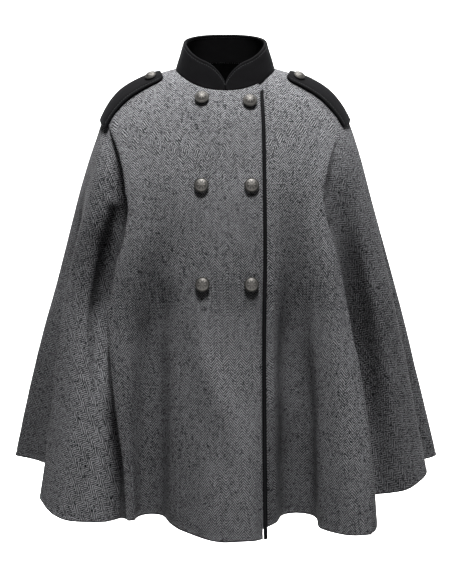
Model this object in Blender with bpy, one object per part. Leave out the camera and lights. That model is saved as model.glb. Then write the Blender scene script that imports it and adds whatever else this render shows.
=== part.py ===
"""A herringbone wool cape, filled out as it hangs on a wearer's shoulders.

Two fronts close double-breasted under a bound edge, with an arm slit where each front laps over
a fan-shaped side piece. There is a plain back, a black stand collar and a black buttoned strap on
each shoulder. Units are metres, +Z is up and the front faces -Y. The origin is the middle of the
neck, level with the collar seam at the side of the neck. Tables are in millimetres and degrees.
"right" and "left" are the wearer's own sides, so "right" is at -X.
"""

import math

import bmesh
import bpy
import numpy as np

MM = 0.001

# Cloth and trim
CLOTH_THICKNESS = 2.6 * MM
SEAM_GAP = 0.3 * MM
COLLAR_THICKNESS = 4.2 * MM
STRAP_THICKNESS = 4.6 * MM
STRAP_WIDTH = 40.0 * MM
BINDING_WIDTH = 6.2 * MM
BINDING_PROUD = 0.7 * MM
BINDING_TOP_LEVEL = 0.02

# The form that the cape hangs on: a ring of cloth at each level from neckline to hem
SECTION_COLUMNS = (
    "level", "half_width", "front", "back", "side_z",
    "front_z", "back_z", "centre", "squareness", "fall",
)
SECTIONS = (
    (0.00, 76, 65, 60, 0, -31, 10, -2.0, 2.30, 2.0),
    (0.06, 119.5, 88, 84, -13.5, -64, -20, -2.5, 2.20, 1.6),
    (0.12, 157, 104, 101, -34, -98, -55, -3.0, 2.20, 1.55),
    (0.18, 181, 119, 113, -65, -138, -95, -2.5, 2.30, 1.7),
    (0.27, 200.5, 136, 124, -115, -195, -155, -1.0, 2.40, 2.0),
    (0.40, 223, 150, 134, -195, -270, -238, 0.0, 2.40, 2.0),
    (0.60, 253, 165, 150, -318, -385, -365, 0.0, 2.35, 2.0),
    (0.80, 290, 185, 172, -462, -525, -512, 0.0, 2.30, 2.0),
    (1.00, 331, 205, 200, -620, -668, -662, 0.0, 2.25, 2.0),
)

# Where the seams run, as a share of the half width at each level
SEAM_COLUMNS = ("level", "right_front", "left_front", "back")
SEAMS = (
    (0.000, 1.000, 1.000, 1.000),
    (0.152, 1.000, 1.000, 1.000),
    (0.185, 0.950, 0.945, 0.940),
    (0.215, 0.845, 0.835, 0.850),
    (0.255, 0.765, 0.750, 0.790),
    (0.300, 0.715, 0.692, 0.760),
    (0.340, 0.682, 0.683, 0.745),
    (0.400, 0.676, 0.695, 0.735),
    (0.480, 0.697, 0.710, 0.730),
    (0.600, 0.693, 0.715, 0.730),
    (0.700, 0.632, 0.712, 0.725),
    (0.800, 0.558, 0.703, 0.715),
    (0.900, 0.490, 0.677, 0.705),
    (1.000, 0.445, 0.639, 0.695),
)

# Fold lines, each with its place and how far it stands out of the form at three levels
FOLD_LEVELS = (0.20, 0.40, 0.62, 1.00)
FRONT_COLUMNS = (
    "name", "x_chest", "x_waist", "x_hem", "out_chest", "out_waist", "out_hem", "hem_z",
)
RIGHT_FRONT_FOLDS = (
    ("outer edge", -151, -175, -147, 4, 6, -20, 0),
    ("outer flat", -142, -160, -135, 4, 5, -25, 0),
    ("deep valley", -98, -105, -106, -3, -10, -43, 5),
    ("valley side", -70, -70, -66, -1, -3, -7, -2),
    ("centre crest", -25, -20, -4, 3, 10, 30, -7),
    ("lap flat", 30, 30, 30, 3, 9, 31, -5),
    ("bound edge", 58, 58, 58, 2, 6, 22, -5),
)
LEFT_FRONT_FOLDS = (
    ("beside the lap", 74, 74, 76, 0, 0, -27, 5),
    ("deep valley", 100, 99, 99, -2, -9, -45, 5),
    ("valley side", 125, 128, 136, 1, 2, -8, -7),
    ("broad crest", 148, 160, 182, 6, 15, 33, -14),
    ("outer edge", 155, 184, 213, 6, 16, 44, -18),
)
SIDE_COLUMNS = (
    "name", "at_chest", "at_waist", "at_hem", "out_chest", "out_waist", "out_hem", "hem_z",
)
RIGHT_SIDE_FOLDS = (
    ("slit valley", 0.075, 0.091, 0.090, -20, -32, -18, -13),
    ("arm front", 0.157, 0.174, 0.194, -6, -12, 0, -19),
    ("arm crest", 0.280, 0.299, 0.334, 3, 0, -19, -18),
    ("arm valley", 0.423, 0.435, 0.473, -5, -26, -70, 2),
    ("elbow crest", 0.638, 0.643, 0.735, 10, 16, 25, 4),
    ("rear valley", 0.812, 0.821, 0.870, -3, -12, -26, 6),
)
LEFT_SIDE_FOLDS = (
    ("slit valley", 0.080, 0.113, 0.186, -20, -40, -76, -16),
    ("arm front", 0.226, 0.252, 0.324, -8, -14, -38, -15),
    ("arm crest", 0.424, 0.433, 0.482, -1, -5, -19, -3),
    ("arm valley", 0.518, 0.518, 0.571, -3, -10, -24, -2),
    ("elbow crest", 0.643, 0.646, 0.690, 6, 14, 23, 5),
    ("rear valley", 0.809, 0.817, 0.850, -3, -12, -28, 6),
)
BACK_SEAM_OUT = (0, 2, 6, 10)
BACK_FOLDS = (
    ("right outer valley", -146, -146, -147, -2, -8, -22, 4),
    ("right crest", -157, -157, -156, 3, 9, 20, -3),
    ("right inner valley", -168, -168, -167, -2, -7, -22, 4),
    ("centre crest", -179, -179, -178, 2, 8, 18, -3),
    ("left inner valley", -191, -191, -190, -2, -8, -24, 5),
    ("left crest", -203, -203, -202, 3, 9, 22, -3),
    ("left outer valley", -213, -213, -213, -2, -8, -22, 4),
)

# The side piece tucks under the front below the arm slit, and stands back from it along the slit
SLIT_COLUMNS = ("level", "lap", "set_back")
SLIT = (
    (0.000, 0.0, 0.0),
    (0.300, 0.0, 0.0),
    (0.318, 0.0, 3.6),
    (0.350, 8.0, 7.0),
    (0.400, 13.0, 17.0),
    (0.620, 13.0, 17.0),
    (0.700, 12.0, 3.7),
    (1.000, 12.0, 3.7),
)

# The left front runs on behind the right one
UNDERLAP_COLUMNS = ("level", "edge_x", "bound_x", "set_back", "rise")
UNDERLAP = (
    (0.00, -20, 55.0, 3.8, 6),
    (0.12, -40, 58.0, 3.8, 8),
    (0.40, -45, 59.5, 4.2, 9),
    (0.62, -45, 58.0, 9.0, 12),
    (1.00, -45, 60.0, 42.0, 15),
)

ROW_LEVELS = (
    0.0, 0.03, 0.06, 0.09, 0.12, 0.152, 0.1535, 0.16, 0.175, 0.195, 0.22, 0.255, 0.30,
    0.318, 0.35, 0.40, 0.47, 0.55, 0.62, 0.70, 0.80, 0.90, 1.0,
)
SIDE_TOP_LEVEL = 0.1535
COLUMNS = {"front": 19, "side": 25, "back": 32}

# The stand collar's top edge: half width, front, back, side z, front z and back z
COLLAR_TOP = tuple(size * MM for size in (63, 53, 57, 40, 8, 52))
COLLAR_TOP_SQUARENESS = 2.5
COLLAR_SEAT = 0.995
COLLAR_CORNER_LENGTH = 27.0 * MM
COLLAR_CORNER_DROP = 0.70
COLLAR_FRONT_GAP = 1.0 * MM
COLLAR_COLUMNS = 53
COLLAR_ROWS = 4

# A black facing lines the back's neckline
FACING_LEVELS = (0.0, 0.03, 0.06, 0.09)
FACING_THICKNESS = 1.2 * MM
FACING_GAP = 0.5 * MM
FACING_END = 100.0
FACING_COLUMNS = 19

# Shoulder straps, along the shoulder from neck to arm
STRAP_LEVELS = (0.028, 0.206)
STRAP_FORWARD = (19.0 * MM, 31.0 * MM)
STRAP_END_LENGTH = 15.0 * MM
STRAP_ROWS = 17
STRAP_ACROSS = (-1.0, -0.85, -0.3, 0.3, 0.85, 1.0)
STRAP_PROFILE = (0.45, 0.92, 1.0, 1.0, 0.92, 0.45)
STRAP_LIFT = 0.9 * MM
STRAP_END_SLANT = 0.8
STRAP_BUTTON_ROW = 2
STRAP_BUTTON_ACROSS = 0.7
STRAP_BUTTON_LEAN = 0.3

# Buttons
BUTTON_RADIUS = 11.0 * MM
STRAP_BUTTON_RADIUS = 9.0 * MM
BUTTON_SIDES = 16
# Reach and height of a button's outline, as shares of its radius
BUTTON_PROFILE = (
    (0.00, 0.00), (0.30, 0.00), (0.30, 0.14), (0.86, 0.14), (1.00, 0.22), (0.97, 0.34),
    (0.80, 0.50), (0.52, 0.63), (0.25, 0.69), (0.00, 0.71),
)
# Each button's x and z on the right front
BUTTONS = {
    "button_top_right": (-36.5, -43.0),
    "button_top_left": (34.5, -47.5),
    "button_middle_right": (-36.5, -168.5),
    "button_middle_left": (36.5, -168.5),
    "button_bottom_right": (-34.5, -310.0),
    "button_bottom_left": (36.0, -310.0),
}

COLOURS = {
    "tweed": ((0.13, 0.13, 0.135, 1), 0.9, 0.0),
    "felt": ((0.012, 0.012, 0.013, 1), 0.85, 0.0),
    "pewter": ((0.17, 0.16, 0.145, 1), 0.42, 0.9),
}


def smooth(xs, ys, x):
    """A smooth curve through the points that never overshoots between them."""
    xs = np.asarray(xs, float)
    ys = np.asarray(ys, float)
    step = np.diff(xs)
    slope = np.diff(ys) / step
    tangent = np.zeros(len(xs))
    for i in range(1, len(xs) - 1):
        if slope[i - 1] * slope[i] > 0:
            before = 2 * step[i] + step[i - 1]
            after = step[i] + 2 * step[i - 1]
            tangent[i] = (before + after) / (before / slope[i - 1] + after / slope[i])
    tangent[0] = slope[0]
    tangent[-1] = slope[-1]
    x = np.clip(x, xs[0], xs[-1])
    i = np.clip(np.searchsorted(xs, x, side="right") - 1, 0, len(step) - 1)
    t = (x - xs[i]) / step[i]
    rise = ys[i] * (1 + 2 * t) * (1 - t) ** 2 + ys[i + 1] * t * t * (3 - 2 * t)
    return rise + step[i] * (tangent[i] * t * (1 - t) ** 2 - tangent[i + 1] * t * t * (1 - t))


def column(table, columns, name, level):
    """One named column of a table, read at a level."""
    rows = np.array(table, float)
    return smooth(rows[:, 0], rows[:, columns.index(name)], level)


def section(name, level):
    """One size of the form at a level."""
    value = column(SECTIONS, SECTION_COLUMNS, name, level)
    return value if name in ("squareness", "fall") else value * MM


def angle_of_share(share, level):
    """The angle round the wearer at which the form is this share of its half width, in degrees."""
    power = section("squareness", level) / 2
    return np.degrees(np.arcsin(np.sign(share) * np.clip(np.abs(share), 0, 1) ** power))


def angle_of_x(x, level):
    """The angle at which the front of the form has this x."""
    return angle_of_share((x - section("centre", level)) / section("half_width", level), level)


def form(angle, level):
    """The point of the form and its level outward direction, at an angle from the middle of the front."""
    turn = np.radians(angle)
    sine, cosine = np.sin(turn), np.cos(turn)
    power = 2 / section("squareness", level)
    wide = section("half_width", level)
    deep = np.where(cosine > 0, section("front", level), section("back", level))
    end_z = np.where(cosine > 0, section("front_z", level), section("back_z", level))
    side_z = section("side_z", level)
    x = section("centre", level) + wide * np.sign(sine) * np.abs(sine) ** power
    y = -deep * np.sign(cosine) * np.abs(cosine) ** power
    z = side_z + (end_z - side_z) * np.abs(y / deep) ** section("fall", level)
    across = np.sign(sine) * np.abs(sine) ** (2 - power) / wide
    along = -np.sign(cosine) * np.abs(cosine) ** (2 - power) / deep
    length = np.hypot(across, along)
    return np.stack([x, y, z], -1), np.stack([across / length, along / length, 0 * z], -1)


def at_level(line, level):
    """A fold line's place, its stand-out and its drop at the hem, at one level."""
    _, chest, waist, hem, out_chest, out_waist, out_hem, hem_z = line
    place = smooth(FOLD_LEVELS, (chest, chest, waist, hem), level)
    out = smooth(FOLD_LEVELS, (0, out_chest, out_waist, out_hem), level) * MM
    drop = smooth((0.0, 0.55, 1.0), (0, 0, hem_z), level) * MM
    return place, out, drop


def right_front_push(x, level):
    """How far the right front stands forward of the form, and its drop."""
    lines = [at_level(line, level) for line in RIGHT_FRONT_FOLDS]
    places = [place * MM for place, _, _ in lines]
    return (
        smooth(places, [out for _, out, _ in lines], x),
        smooth(places, [drop for _, _, drop in lines], x),
    )


def underlap_at(level):
    """Where the underlap ends, the bound edge's x, the fronts' distance and where they part."""
    return (column(UNDERLAP, UNDERLAP_COLUMNS, name, level) * MM for name in UNDERLAP_COLUMNS[1:])


def left_front_push(x, level):
    """The same for the left front, whose underlap has the right front's own shape."""
    edge, bound, _, _ = underlap_at(level)
    places, outs, drops = [], [], []
    for place in (edge, (edge + bound) / 2, bound):
        out, drop = right_front_push(place, level)
        places.append(place)
        outs.append(out)
        drops.append(drop)
    for line in LEFT_FRONT_FOLDS:
        place, out, drop = at_level(line, level)
        places.append(place * MM)
        outs.append(out)
        drops.append(drop)
    return smooth(places, outs, x), smooth(places, drops, x)


def front_points(push, angles, level):
    """A row of a front's outer points."""
    points, _ = form(angles, level)
    out, drop = push(points[:, 0], level)
    points[:, 1] -= out
    points[:, 2] += drop
    return points


def front_normals(push, angles, level, step=0.002):
    """The direction out of a front at each of its outer points."""
    low, high = max(level - step, 0), min(level + step, 1)
    down = front_points(push, angles, high) - front_points(push, angles, low)
    along = front_points(push, angles + 0.3, level) - front_points(push, angles - 0.3, level)
    normal = np.cross(down, along)
    return normal / np.linalg.norm(normal, axis=1, keepdims=True)


def left_front_points(angles, level):
    """A row of the left front's outer points, which lie behind the right front up to its bound edge."""
    _, bound, set_back, rise = underlap_at(level)
    points = front_points(left_front_push, angles, level)
    normals = front_normals(left_front_push, angles, level)
    behind = 1 - np.clip((points[:, 0] - bound) / rise, 0, 1)
    behind = behind * behind * (3 - 2 * behind)
    return points - normals * (behind * set_back)[:, None]


def seam_angle(name, level):
    """Where a seam crosses a level, in degrees from the middle of the front, without its side's sign."""
    share = column(SEAMS, SEAM_COLUMNS, name, level)
    angle = angle_of_share(share, level)
    return 180 - angle if name == "back" else angle


def slit_at(level):
    """How far the side piece laps under the front and stands back from it."""
    return (column(SLIT, SLIT_COLUMNS, name, level) * MM for name in ("lap", "set_back"))


def side_points(side, angles, level):
    """A row of a side piece's outer points. side is -1 for the wearer's right and 1 for the left."""
    name, folds, push = {
        -1: ("right_front", RIGHT_SIDE_FOLDS, right_front_push),
        1: ("left_front", LEFT_SIDE_FOLDS, left_front_push),
    }[side]
    seam = seam_angle(name, level)
    lap, set_back = slit_at(level)
    tucked = seam - lap_angle(name, lap, level)
    places, shifts, drops = [], [], []
    for place in (tucked, seam) if seam - tucked > 0.1 else (seam,):
        point, outward = form(side * place, level)
        out, drop = push(point[0], level)
        places.append(place)
        shifts.append(np.array([0, -out, 0]) - outward * set_back)
        drops.append(drop)
    end = seam_angle("back", level)
    for line in folds:
        share, out, drop = at_level(line, level)
        place = seam + (end - seam) * share
        _, outward = form(side * place, level)
        places.append(place)
        shifts.append(outward * out)
        drops.append(drop)
    places.append(end)
    shifts.append(back_seam_shift(side, end, level))
    drops.append(0.0)
    points, _ = form(side * angles, level)
    for axis in range(2):
        points[:, axis] += smooth(places, [shift[axis] for shift in shifts], angles)
    points[:, 2] += smooth(places, drops, angles)
    return points


def lap_angle(name, lap, level):
    """The angle that a lap of this length takes up at the front seam."""
    seam = seam_angle(name, level)
    share = column(SEAMS, SEAM_COLUMNS, name, level)
    return seam - angle_of_share(share - lap / section("half_width", level), level)


def back_seam_shift(side, end, level):
    """The side piece and the back meet at this shift from the form."""
    _, outward = form(side * end, level)
    return outward * smooth(FOLD_LEVELS, BACK_SEAM_OUT, level) * MM


def back_points(angles, level):
    """A row of the back's outer points, from the right seam to the left one."""
    end = seam_angle("back", level)
    places, shifts, drops = [end], [back_seam_shift(-1, end, level)], [0.0]
    for line in BACK_FOLDS:
        place, out, drop = at_level(line, level)
        _, outward = form(place, level)
        places.append(-place)
        shifts.append(outward * out)
        drops.append(drop)
    places.append(360 - end)
    shifts.append(back_seam_shift(1, end, level))
    drops.append(0.0)
    points, _ = form(-angles, level)
    for axis in range(2):
        points[:, axis] += smooth(places, [shift[axis] for shift in shifts], angles)
    points[:, 2] += smooth(places, drops, angles)
    return points


def right_front_grid():
    """Rows from the neckline down, each from the outer seam to the bound edge."""
    rows = []
    for level in ROW_LEVELS:
        _, bound, _, _ = underlap_at(level)
        start = -seam_angle("right_front", level)
        stop = angle_of_x(bound - BINDING_WIDTH, level)
        angles = np.linspace(start, stop, COLUMNS["front"])
        rows.append(front_points(right_front_push, angles, level))
    return np.array(rows)


def left_front_grid():
    """Rows from the neckline down, each from the hidden underlap to the outer seam."""
    rows = []
    for level in ROW_LEVELS:
        edge, bound, _, _ = underlap_at(level)
        start, middle = angle_of_x(edge, level), angle_of_x(bound, level)
        stop = seam_angle("left_front", level)
        angles = np.append(
            np.linspace(start, middle, 7)[:-1], np.linspace(middle, stop, COLUMNS["front"] - 3)
        )
        rows.append(left_front_points(angles, level))
    return np.array(rows)


def side_grid(side):
    """Rows down a side piece, each from its front edge round to the back seam."""
    name = {-1: "right_front", 1: "left_front"}[side]
    rows = []
    for level in ROW_LEVELS:
        if level < SIDE_TOP_LEVEL:
            continue
        lap, _ = slit_at(level)
        start = seam_angle(name, level) - lap_angle(name, lap, level)
        stop = seam_angle("back", level)
        rows.append(side_points(side, np.linspace(start, stop, COLUMNS["side"]), level))
    return np.array(rows)


def back_grid():
    """Rows down the back, each from the right seam to the left one."""
    rows = []
    for level in ROW_LEVELS:
        end = seam_angle("back", level)
        rows.append(back_points(np.linspace(end, 360 - end, COLUMNS["back"]), level))
    return np.array(rows)


def outward_normals(grid):
    """The direction out of the cloth at each point of a grid."""
    down = np.gradient(grid, axis=0)
    along = np.gradient(grid, axis=1)
    normal = np.cross(down, along)
    normal /= np.linalg.norm(normal, axis=2, keepdims=True)
    outward = grid * (1, 1, 0)
    return normal * np.sign((normal * outward).sum())


def share_seam_normals(grids):
    """The normals of several grids, made one where their edges meet."""
    normals = {name: outward_normals(grid) for name, grid in grids.items()}
    meeting = {}
    for name, grid in grids.items():
        for r in range(grid.shape[0]):
            for c in (0, grid.shape[1] - 1):
                spot = tuple(np.round(grid[r, c] * 20000).astype(int))
                meeting.setdefault(spot, []).append((name, r, c))
    for places in meeting.values():
        total = sum(normals[name][r, c] for name, r, c in places)
        for name, r, c in places:
            normals[name][r, c] = total / np.linalg.norm(total)
    return normals


def take_in(grid, first=0.0, last=0.0, top=0.0):
    """How far each point moves along the cloth, square to its edge, to leave the seams' gaps."""
    shift = np.zeros_like(grid)
    edges = (
        (np.s_[:, 0], np.s_[:, 1], first),
        (np.s_[:, -1], np.s_[:, -2], last),
        (np.s_[0], np.s_[1], top),
    )
    for edge, inner, gap in edges:
        along = np.gradient(grid[edge], axis=0)
        along /= np.linalg.norm(along, axis=1, keepdims=True)
        inward = grid[inner] - grid[edge]
        inward -= along * (inward * along).sum(axis=1, keepdims=True)
        shift[edge] += inward / np.linalg.norm(inward, axis=1, keepdims=True) * gap
    return shift


def add_object(name, mesh, finish):
    """Links a mesh as a named object with its own material."""
    colour, roughness, metallic = COLOURS[finish]
    material = bpy.data.materials.new(name)
    material.use_nodes = True
    shader = material.node_tree.nodes["Principled BSDF"]
    shader.inputs["Base Color"].default_value = colour
    shader.inputs["Roughness"].default_value = roughness
    shader.inputs["Metallic"].default_value = metallic
    mesh.materials.append(material)
    thing = bpy.data.objects.new(name, mesh)
    bpy.context.scene.collection.objects.link(thing)
    return thing


def solid_from_layers(name, outer, inner, finish):
    """A closed wall between an outer and an inner grid of points."""
    rows, columns = outer.shape[:2]
    made = bmesh.new()
    layers = [[[made.verts.new(point) for point in row] for row in grid] for grid in (outer, inner)]
    rim = (
        [(0, c) for c in range(columns)]
        + [(r, columns - 1) for r in range(1, rows)]
        + [(rows - 1, c) for c in range(columns - 2, -1, -1)]
        + [(r, 0) for r in range(rows - 2, 0, -1)]
    )
    for layer in layers:
        for r in range(rows - 1):
            for c in range(columns - 1):
                made.faces.new((layer[r][c], layer[r][c + 1], layer[r + 1][c + 1], layer[r + 1][c]))
    for (r, c), (s, d) in zip(rim, rim[1:] + rim[:1]):
        made.faces.new((layers[0][r][c], layers[0][s][d], layers[1][s][d], layers[1][r][c]))
    bmesh.ops.recalc_face_normals(made, faces=made.faces)
    mesh = bpy.data.meshes.new(name)
    made.to_mesh(mesh)
    made.free()
    mesh.shade_smooth()
    mesh.set_sharp_from_angle(angle=math.radians(40))
    return add_object(name, mesh, finish)


def make_panels():
    """The five pieces of the body, with the seams' gaps between them."""
    half = SEAM_GAP / 2
    grids = {
        "front_right": right_front_grid(),
        "front_left": left_front_grid(),
        "side_right": side_grid(-1),
        "side_left": side_grid(1),
        "back": back_grid(),
    }
    gaps = {
        "front_right": {"first": half, "last": 1.5 * SEAM_GAP},
        "front_left": {"last": half},
        "side_right": {"first": half, "last": half, "top": 2 * SEAM_GAP},
        "side_left": {"first": half, "last": half, "top": 2 * SEAM_GAP},
        "back": {"first": half, "last": half},
    }
    normals = share_seam_normals(grids)
    for name, grid in grids.items():
        outer = grid + take_in(grid, **gaps[name])
        solid_from_layers(name, outer, outer - normals[name] * CLOTH_THICKNESS, "tweed")


def make_binding():
    """The black binding that closes the right front's edge."""
    rows = []
    for level in (BINDING_TOP_LEVEL, *ROW_LEVELS[1:]):
        _, bound, _, _ = underlap_at(level)
        places = bound - BINDING_WIDTH * np.array((1.0, 0.8, 0.2, 0.0))
        angles = angle_of_x(places, level)
        points = front_points(right_front_push, angles, level)
        rows.append((points, front_normals(right_front_push, angles, level)))
    points = np.array([row for row, _ in rows])
    normals = np.array([row for _, row in rows])
    proud = (np.array((-0.1, 1.0, 1.0, -0.1)) * BINDING_PROUD)[None, :, None]
    outer = points + normals * proud
    inner = points - normals * (CLOTH_THICKNESS + proud)
    solid_from_layers("front_binding", outer, inner, "felt")


def collar_ring(angles, sizes, squareness, rise):
    """A ring of the collar. rise bends how its height goes from the side to the back."""
    half_width, front, back, side_z, front_z, back_z = sizes
    sine, cosine = np.sin(np.radians(angles)), np.cos(np.radians(angles))
    x = half_width * np.sign(sine) * np.abs(sine) ** (2 / squareness)
    depth = np.abs(cosine) ** (2 / squareness)
    y = np.where(cosine > 0, -front * depth, back * depth)
    front_rise = (front_z - side_z) * depth ** 2
    back_rise = (back_z - side_z) * depth ** rise
    return np.stack([x, y, side_z + np.where(cosine > 0, front_rise, back_rise)], -1)


def collar_grid():
    """Rows up the collar, each from its right front corner round the back to its left one."""
    share = np.linspace(0, 1, COLLAR_COLUMNS)
    angles = -360 * (share - 0.055 * np.sin(2 * np.pi * share))
    sizes = np.array([section(name, 0) for name in SECTION_COLUMNS[1:7]])
    sizes[:3] *= COLLAR_SEAT
    base = collar_ring(angles, sizes, section("squareness", 0), 2) + (0, 0, 1.3 * SEAM_GAP)
    top = collar_ring(angles, COLLAR_TOP, COLLAR_TOP_SQUARENESS, 1)
    turned = np.radians(np.minimum(-angles, 360 + angles))
    near = np.clip(1 - turned * COLLAR_TOP[0] / COLLAR_CORNER_LENGTH, 0, 1)
    corner = (1 - np.sqrt(1 - 0.98 * near ** 2)) / (1 - math.sqrt(0.02))
    height = 1 - COLLAR_CORNER_DROP * corner
    heights = np.linspace(0, 1, COLLAR_ROWS)
    grid = np.array([base + (top - base) * (up * height)[:, None] for up in heights])
    grid[:, 0, 0] -= COLLAR_FRONT_GAP / 2
    grid[:, -1, 0] += COLLAR_FRONT_GAP / 2
    return grid + (section("centre", 0), 0, 0)


def make_collar():
    """The stand collar, one band round the neck with rounded corners in front."""
    outer = collar_grid()
    solid_from_layers("collar", outer, outer - outward_normals(outer) * COLLAR_THICKNESS, "felt")


def make_facing():
    """The facing inside the back's neckline."""
    angles = np.linspace(FACING_END, 360 - FACING_END, FACING_COLUMNS)
    grid = np.array([back_points(angles, level) for level in FACING_LEVELS])
    normals = outward_normals(grid)
    outer = grid - normals * (CLOTH_THICKNESS + FACING_GAP)
    solid_from_layers("neck_facing", outer, outer - normals * FACING_THICKNESS, "felt")


def shoulder_line(side, level):
    """Outer points over one shoulder at a level, from front to back."""
    name = {-1: "right_front", 1: "left_front"}[side]
    push = {-1: right_front_push, 1: left_front_push}[side]
    front_seam, back_seam = seam_angle(name, level), seam_angle("back", level)
    front_angles = np.linspace(front_seam - 45, front_seam, 24)
    parts = [front_points(push, side * front_angles, level)]
    if level > SIDE_TOP_LEVEL:
        parts.append(side_points(side, np.linspace(front_seam, back_seam, 12), level)[1:])
    turned = np.linspace(back_seam, back_seam + 25, 12)
    angles = turned if side < 0 else 360 - turned
    parts.append(back_points(angles, level)[1:])
    return np.concatenate(parts)


def strap_grid(side):
    """The cloth's points under a shoulder strap: rows from the neck out, each from front to back."""
    lines = [shoulder_line(side, level) for level in np.linspace(*STRAP_LEVELS, STRAP_ROWS)]
    forward = np.linspace(*STRAP_FORWARD, STRAP_ROWS)
    ridge, travelled = [], []
    for line, distance in zip(lines, forward):
        steps = np.linalg.norm(np.diff(line, axis=0), axis=1)
        along = np.append(0, np.cumsum(steps))
        middle = np.interp(-distance, line[:, 1], along)
        travelled.append(along - middle)
        ridge.append([np.interp(middle, along, line[:, axis]) for axis in range(3)])
    distance = np.append(0, np.cumsum(np.linalg.norm(np.diff(np.array(ridge), axis=0), axis=1)))
    rows = []
    for line, along, out in zip(lines, travelled, distance):
        rounded = np.clip(1 - out / STRAP_END_LENGTH, 0, 1)
        half = STRAP_WIDTH / 2 * (0.30 + 0.70 * math.sqrt(1 - rounded ** 2))
        places = half * np.array(STRAP_ACROSS)
        rows.append(np.stack([np.interp(places, along, line[:, axis]) for axis in range(3)], -1))
    grid = np.array(rows)
    every = np.arange(STRAP_ROWS)
    for c, across in enumerate(STRAP_ACROSS):
        kept = np.linspace(0, STRAP_ROWS - 1 - STRAP_END_SLANT * max(-across, 0), STRAP_ROWS)
        grid[:, c] = np.stack([np.interp(kept, every, grid[:, c, axis]) for axis in range(3)], -1)
    return grid


def strap_normals(grid):
    """The direction out of the cloth under a strap."""
    normal = np.cross(np.gradient(grid, axis=0), np.gradient(grid, axis=1))
    normal /= np.linalg.norm(normal, axis=2, keepdims=True)
    return normal * np.sign(normal[..., 2].sum())


def make_straps():
    """A thick black strap over each shoulder."""
    for side, name in ((-1, "epaulette_right"), (1, "epaulette_left")):
        grid = strap_grid(side)
        normals = strap_normals(grid)
        height = STRAP_LIFT + STRAP_THICKNESS * np.array(STRAP_PROFILE)[None, :, None]
        solid_from_layers(name, grid + normals * height, grid + normals * STRAP_LIFT, "felt")


def front_spot(x, z):
    """The outer point of the right front at this x and height, and the direction out of the cloth."""
    high, low = 0.0, 1.0
    for _ in range(40):
        level = (high + low) / 2
        angle = np.array([angle_of_x(x, level)])
        if front_points(right_front_push, angle, level)[0, 2] > z:
            high = level
        else:
            low = level
    normal = front_normals(right_front_push, angle, level)[0]
    return front_points(right_front_push, angle, level)[0], normal


def strap_spot(side):
    """The middle of a strap's top where its button sits, and the direction out of the cloth."""
    grid = strap_grid(side)
    normals = strap_normals(grid)
    middle = len(STRAP_ACROSS) // 2
    front, back = grid[STRAP_BUTTON_ROW, middle - 1:middle + 1]
    point = front * STRAP_BUTTON_ACROSS + back * (1 - STRAP_BUTTON_ACROSS)
    normal = normals[STRAP_BUTTON_ROW, middle]
    shank = BUTTON_PROFILE[1][0] * STRAP_BUTTON_RADIUS
    point = point + normal * (STRAP_LIFT + STRAP_THICKNESS + STRAP_BUTTON_LEAN * shank)
    leaning = normal - (0, STRAP_BUTTON_LEAN, 0)
    return point, leaning / np.linalg.norm(leaning)


def make_button(name, point, normal, radius):
    """A domed button on a short shank, turned about the direction out of the cloth."""
    side = np.cross((0.0, 0.0, 1.0), normal)
    side /= np.linalg.norm(side)
    up = np.cross(normal, side)
    made = bmesh.new()
    rings = []
    for reach, height in BUTTON_PROFILE:
        centre = point + normal * (SEAM_GAP + height * radius)
        if reach == 0:
            rings.append([made.verts.new(centre)] * BUTTON_SIDES)
            continue
        ring = []
        for turn in np.linspace(0, 2 * math.pi, BUTTON_SIDES, endpoint=False):
            across = side * math.cos(turn) + up * math.sin(turn)
            ring.append(made.verts.new(centre + across * reach * radius))
        rings.append(ring)
    for low, high in zip(rings, rings[1:]):
        for i in range(BUTTON_SIDES):
            j = (i + 1) % BUTTON_SIDES
            corners = [low[i], low[j], high[j], high[i]]
            made.faces.new(list(dict.fromkeys(corners)))
    bmesh.ops.recalc_face_normals(made, faces=made.faces)
    mesh = bpy.data.meshes.new(name)
    made.to_mesh(mesh)
    made.free()
    mesh.shade_smooth()
    mesh.set_sharp_from_angle(angle=math.radians(50))
    return add_object(name, mesh, "pewter")


def make_buttons():
    """Six buttons on the right front and one on each strap."""
    for name, (x, z) in BUTTONS.items():
        make_button(name, *front_spot(x * MM, z * MM), BUTTON_RADIUS)
    for side, name in ((-1, "button_epaulette_right"), (1, "button_epaulette_left")):
        make_button(name, *strap_spot(side), STRAP_BUTTON_RADIUS)


def clear_scene():
    """Starts from an empty scene."""
    for thing in list(bpy.data.objects):
        bpy.data.objects.remove(thing)


def main():
    clear_scene()
    make_panels()
    make_binding()
    make_collar()
    make_facing()
    make_straps()
    make_buttons()


main()
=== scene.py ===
"""The looks of a herringbone wool cape: its cloth, creases, seams, stitches, trim and buttons.

The cape's form is worked out from the same sizes as its solids, on finer grids. Units are metres,
+Z is up and the front faces -Y. "right" and "left" are the wearer's own sides, so "right" is at -X.
"""

import collections
import functools
import math

import bmesh
import bpy
import numpy as np
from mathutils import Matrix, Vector, noise


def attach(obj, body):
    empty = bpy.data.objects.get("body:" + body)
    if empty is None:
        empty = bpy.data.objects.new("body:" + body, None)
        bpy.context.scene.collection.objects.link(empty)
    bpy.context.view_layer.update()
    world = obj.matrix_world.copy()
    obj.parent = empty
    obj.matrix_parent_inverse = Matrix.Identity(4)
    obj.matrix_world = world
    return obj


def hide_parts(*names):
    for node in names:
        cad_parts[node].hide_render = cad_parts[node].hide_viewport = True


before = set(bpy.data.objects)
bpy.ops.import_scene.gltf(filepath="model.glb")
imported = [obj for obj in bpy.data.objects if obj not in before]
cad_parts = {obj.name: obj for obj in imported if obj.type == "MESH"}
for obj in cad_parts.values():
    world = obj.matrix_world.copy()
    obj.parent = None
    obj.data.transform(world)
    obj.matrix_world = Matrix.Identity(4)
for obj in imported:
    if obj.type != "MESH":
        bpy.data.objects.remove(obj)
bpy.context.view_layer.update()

MM = 0.001

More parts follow.
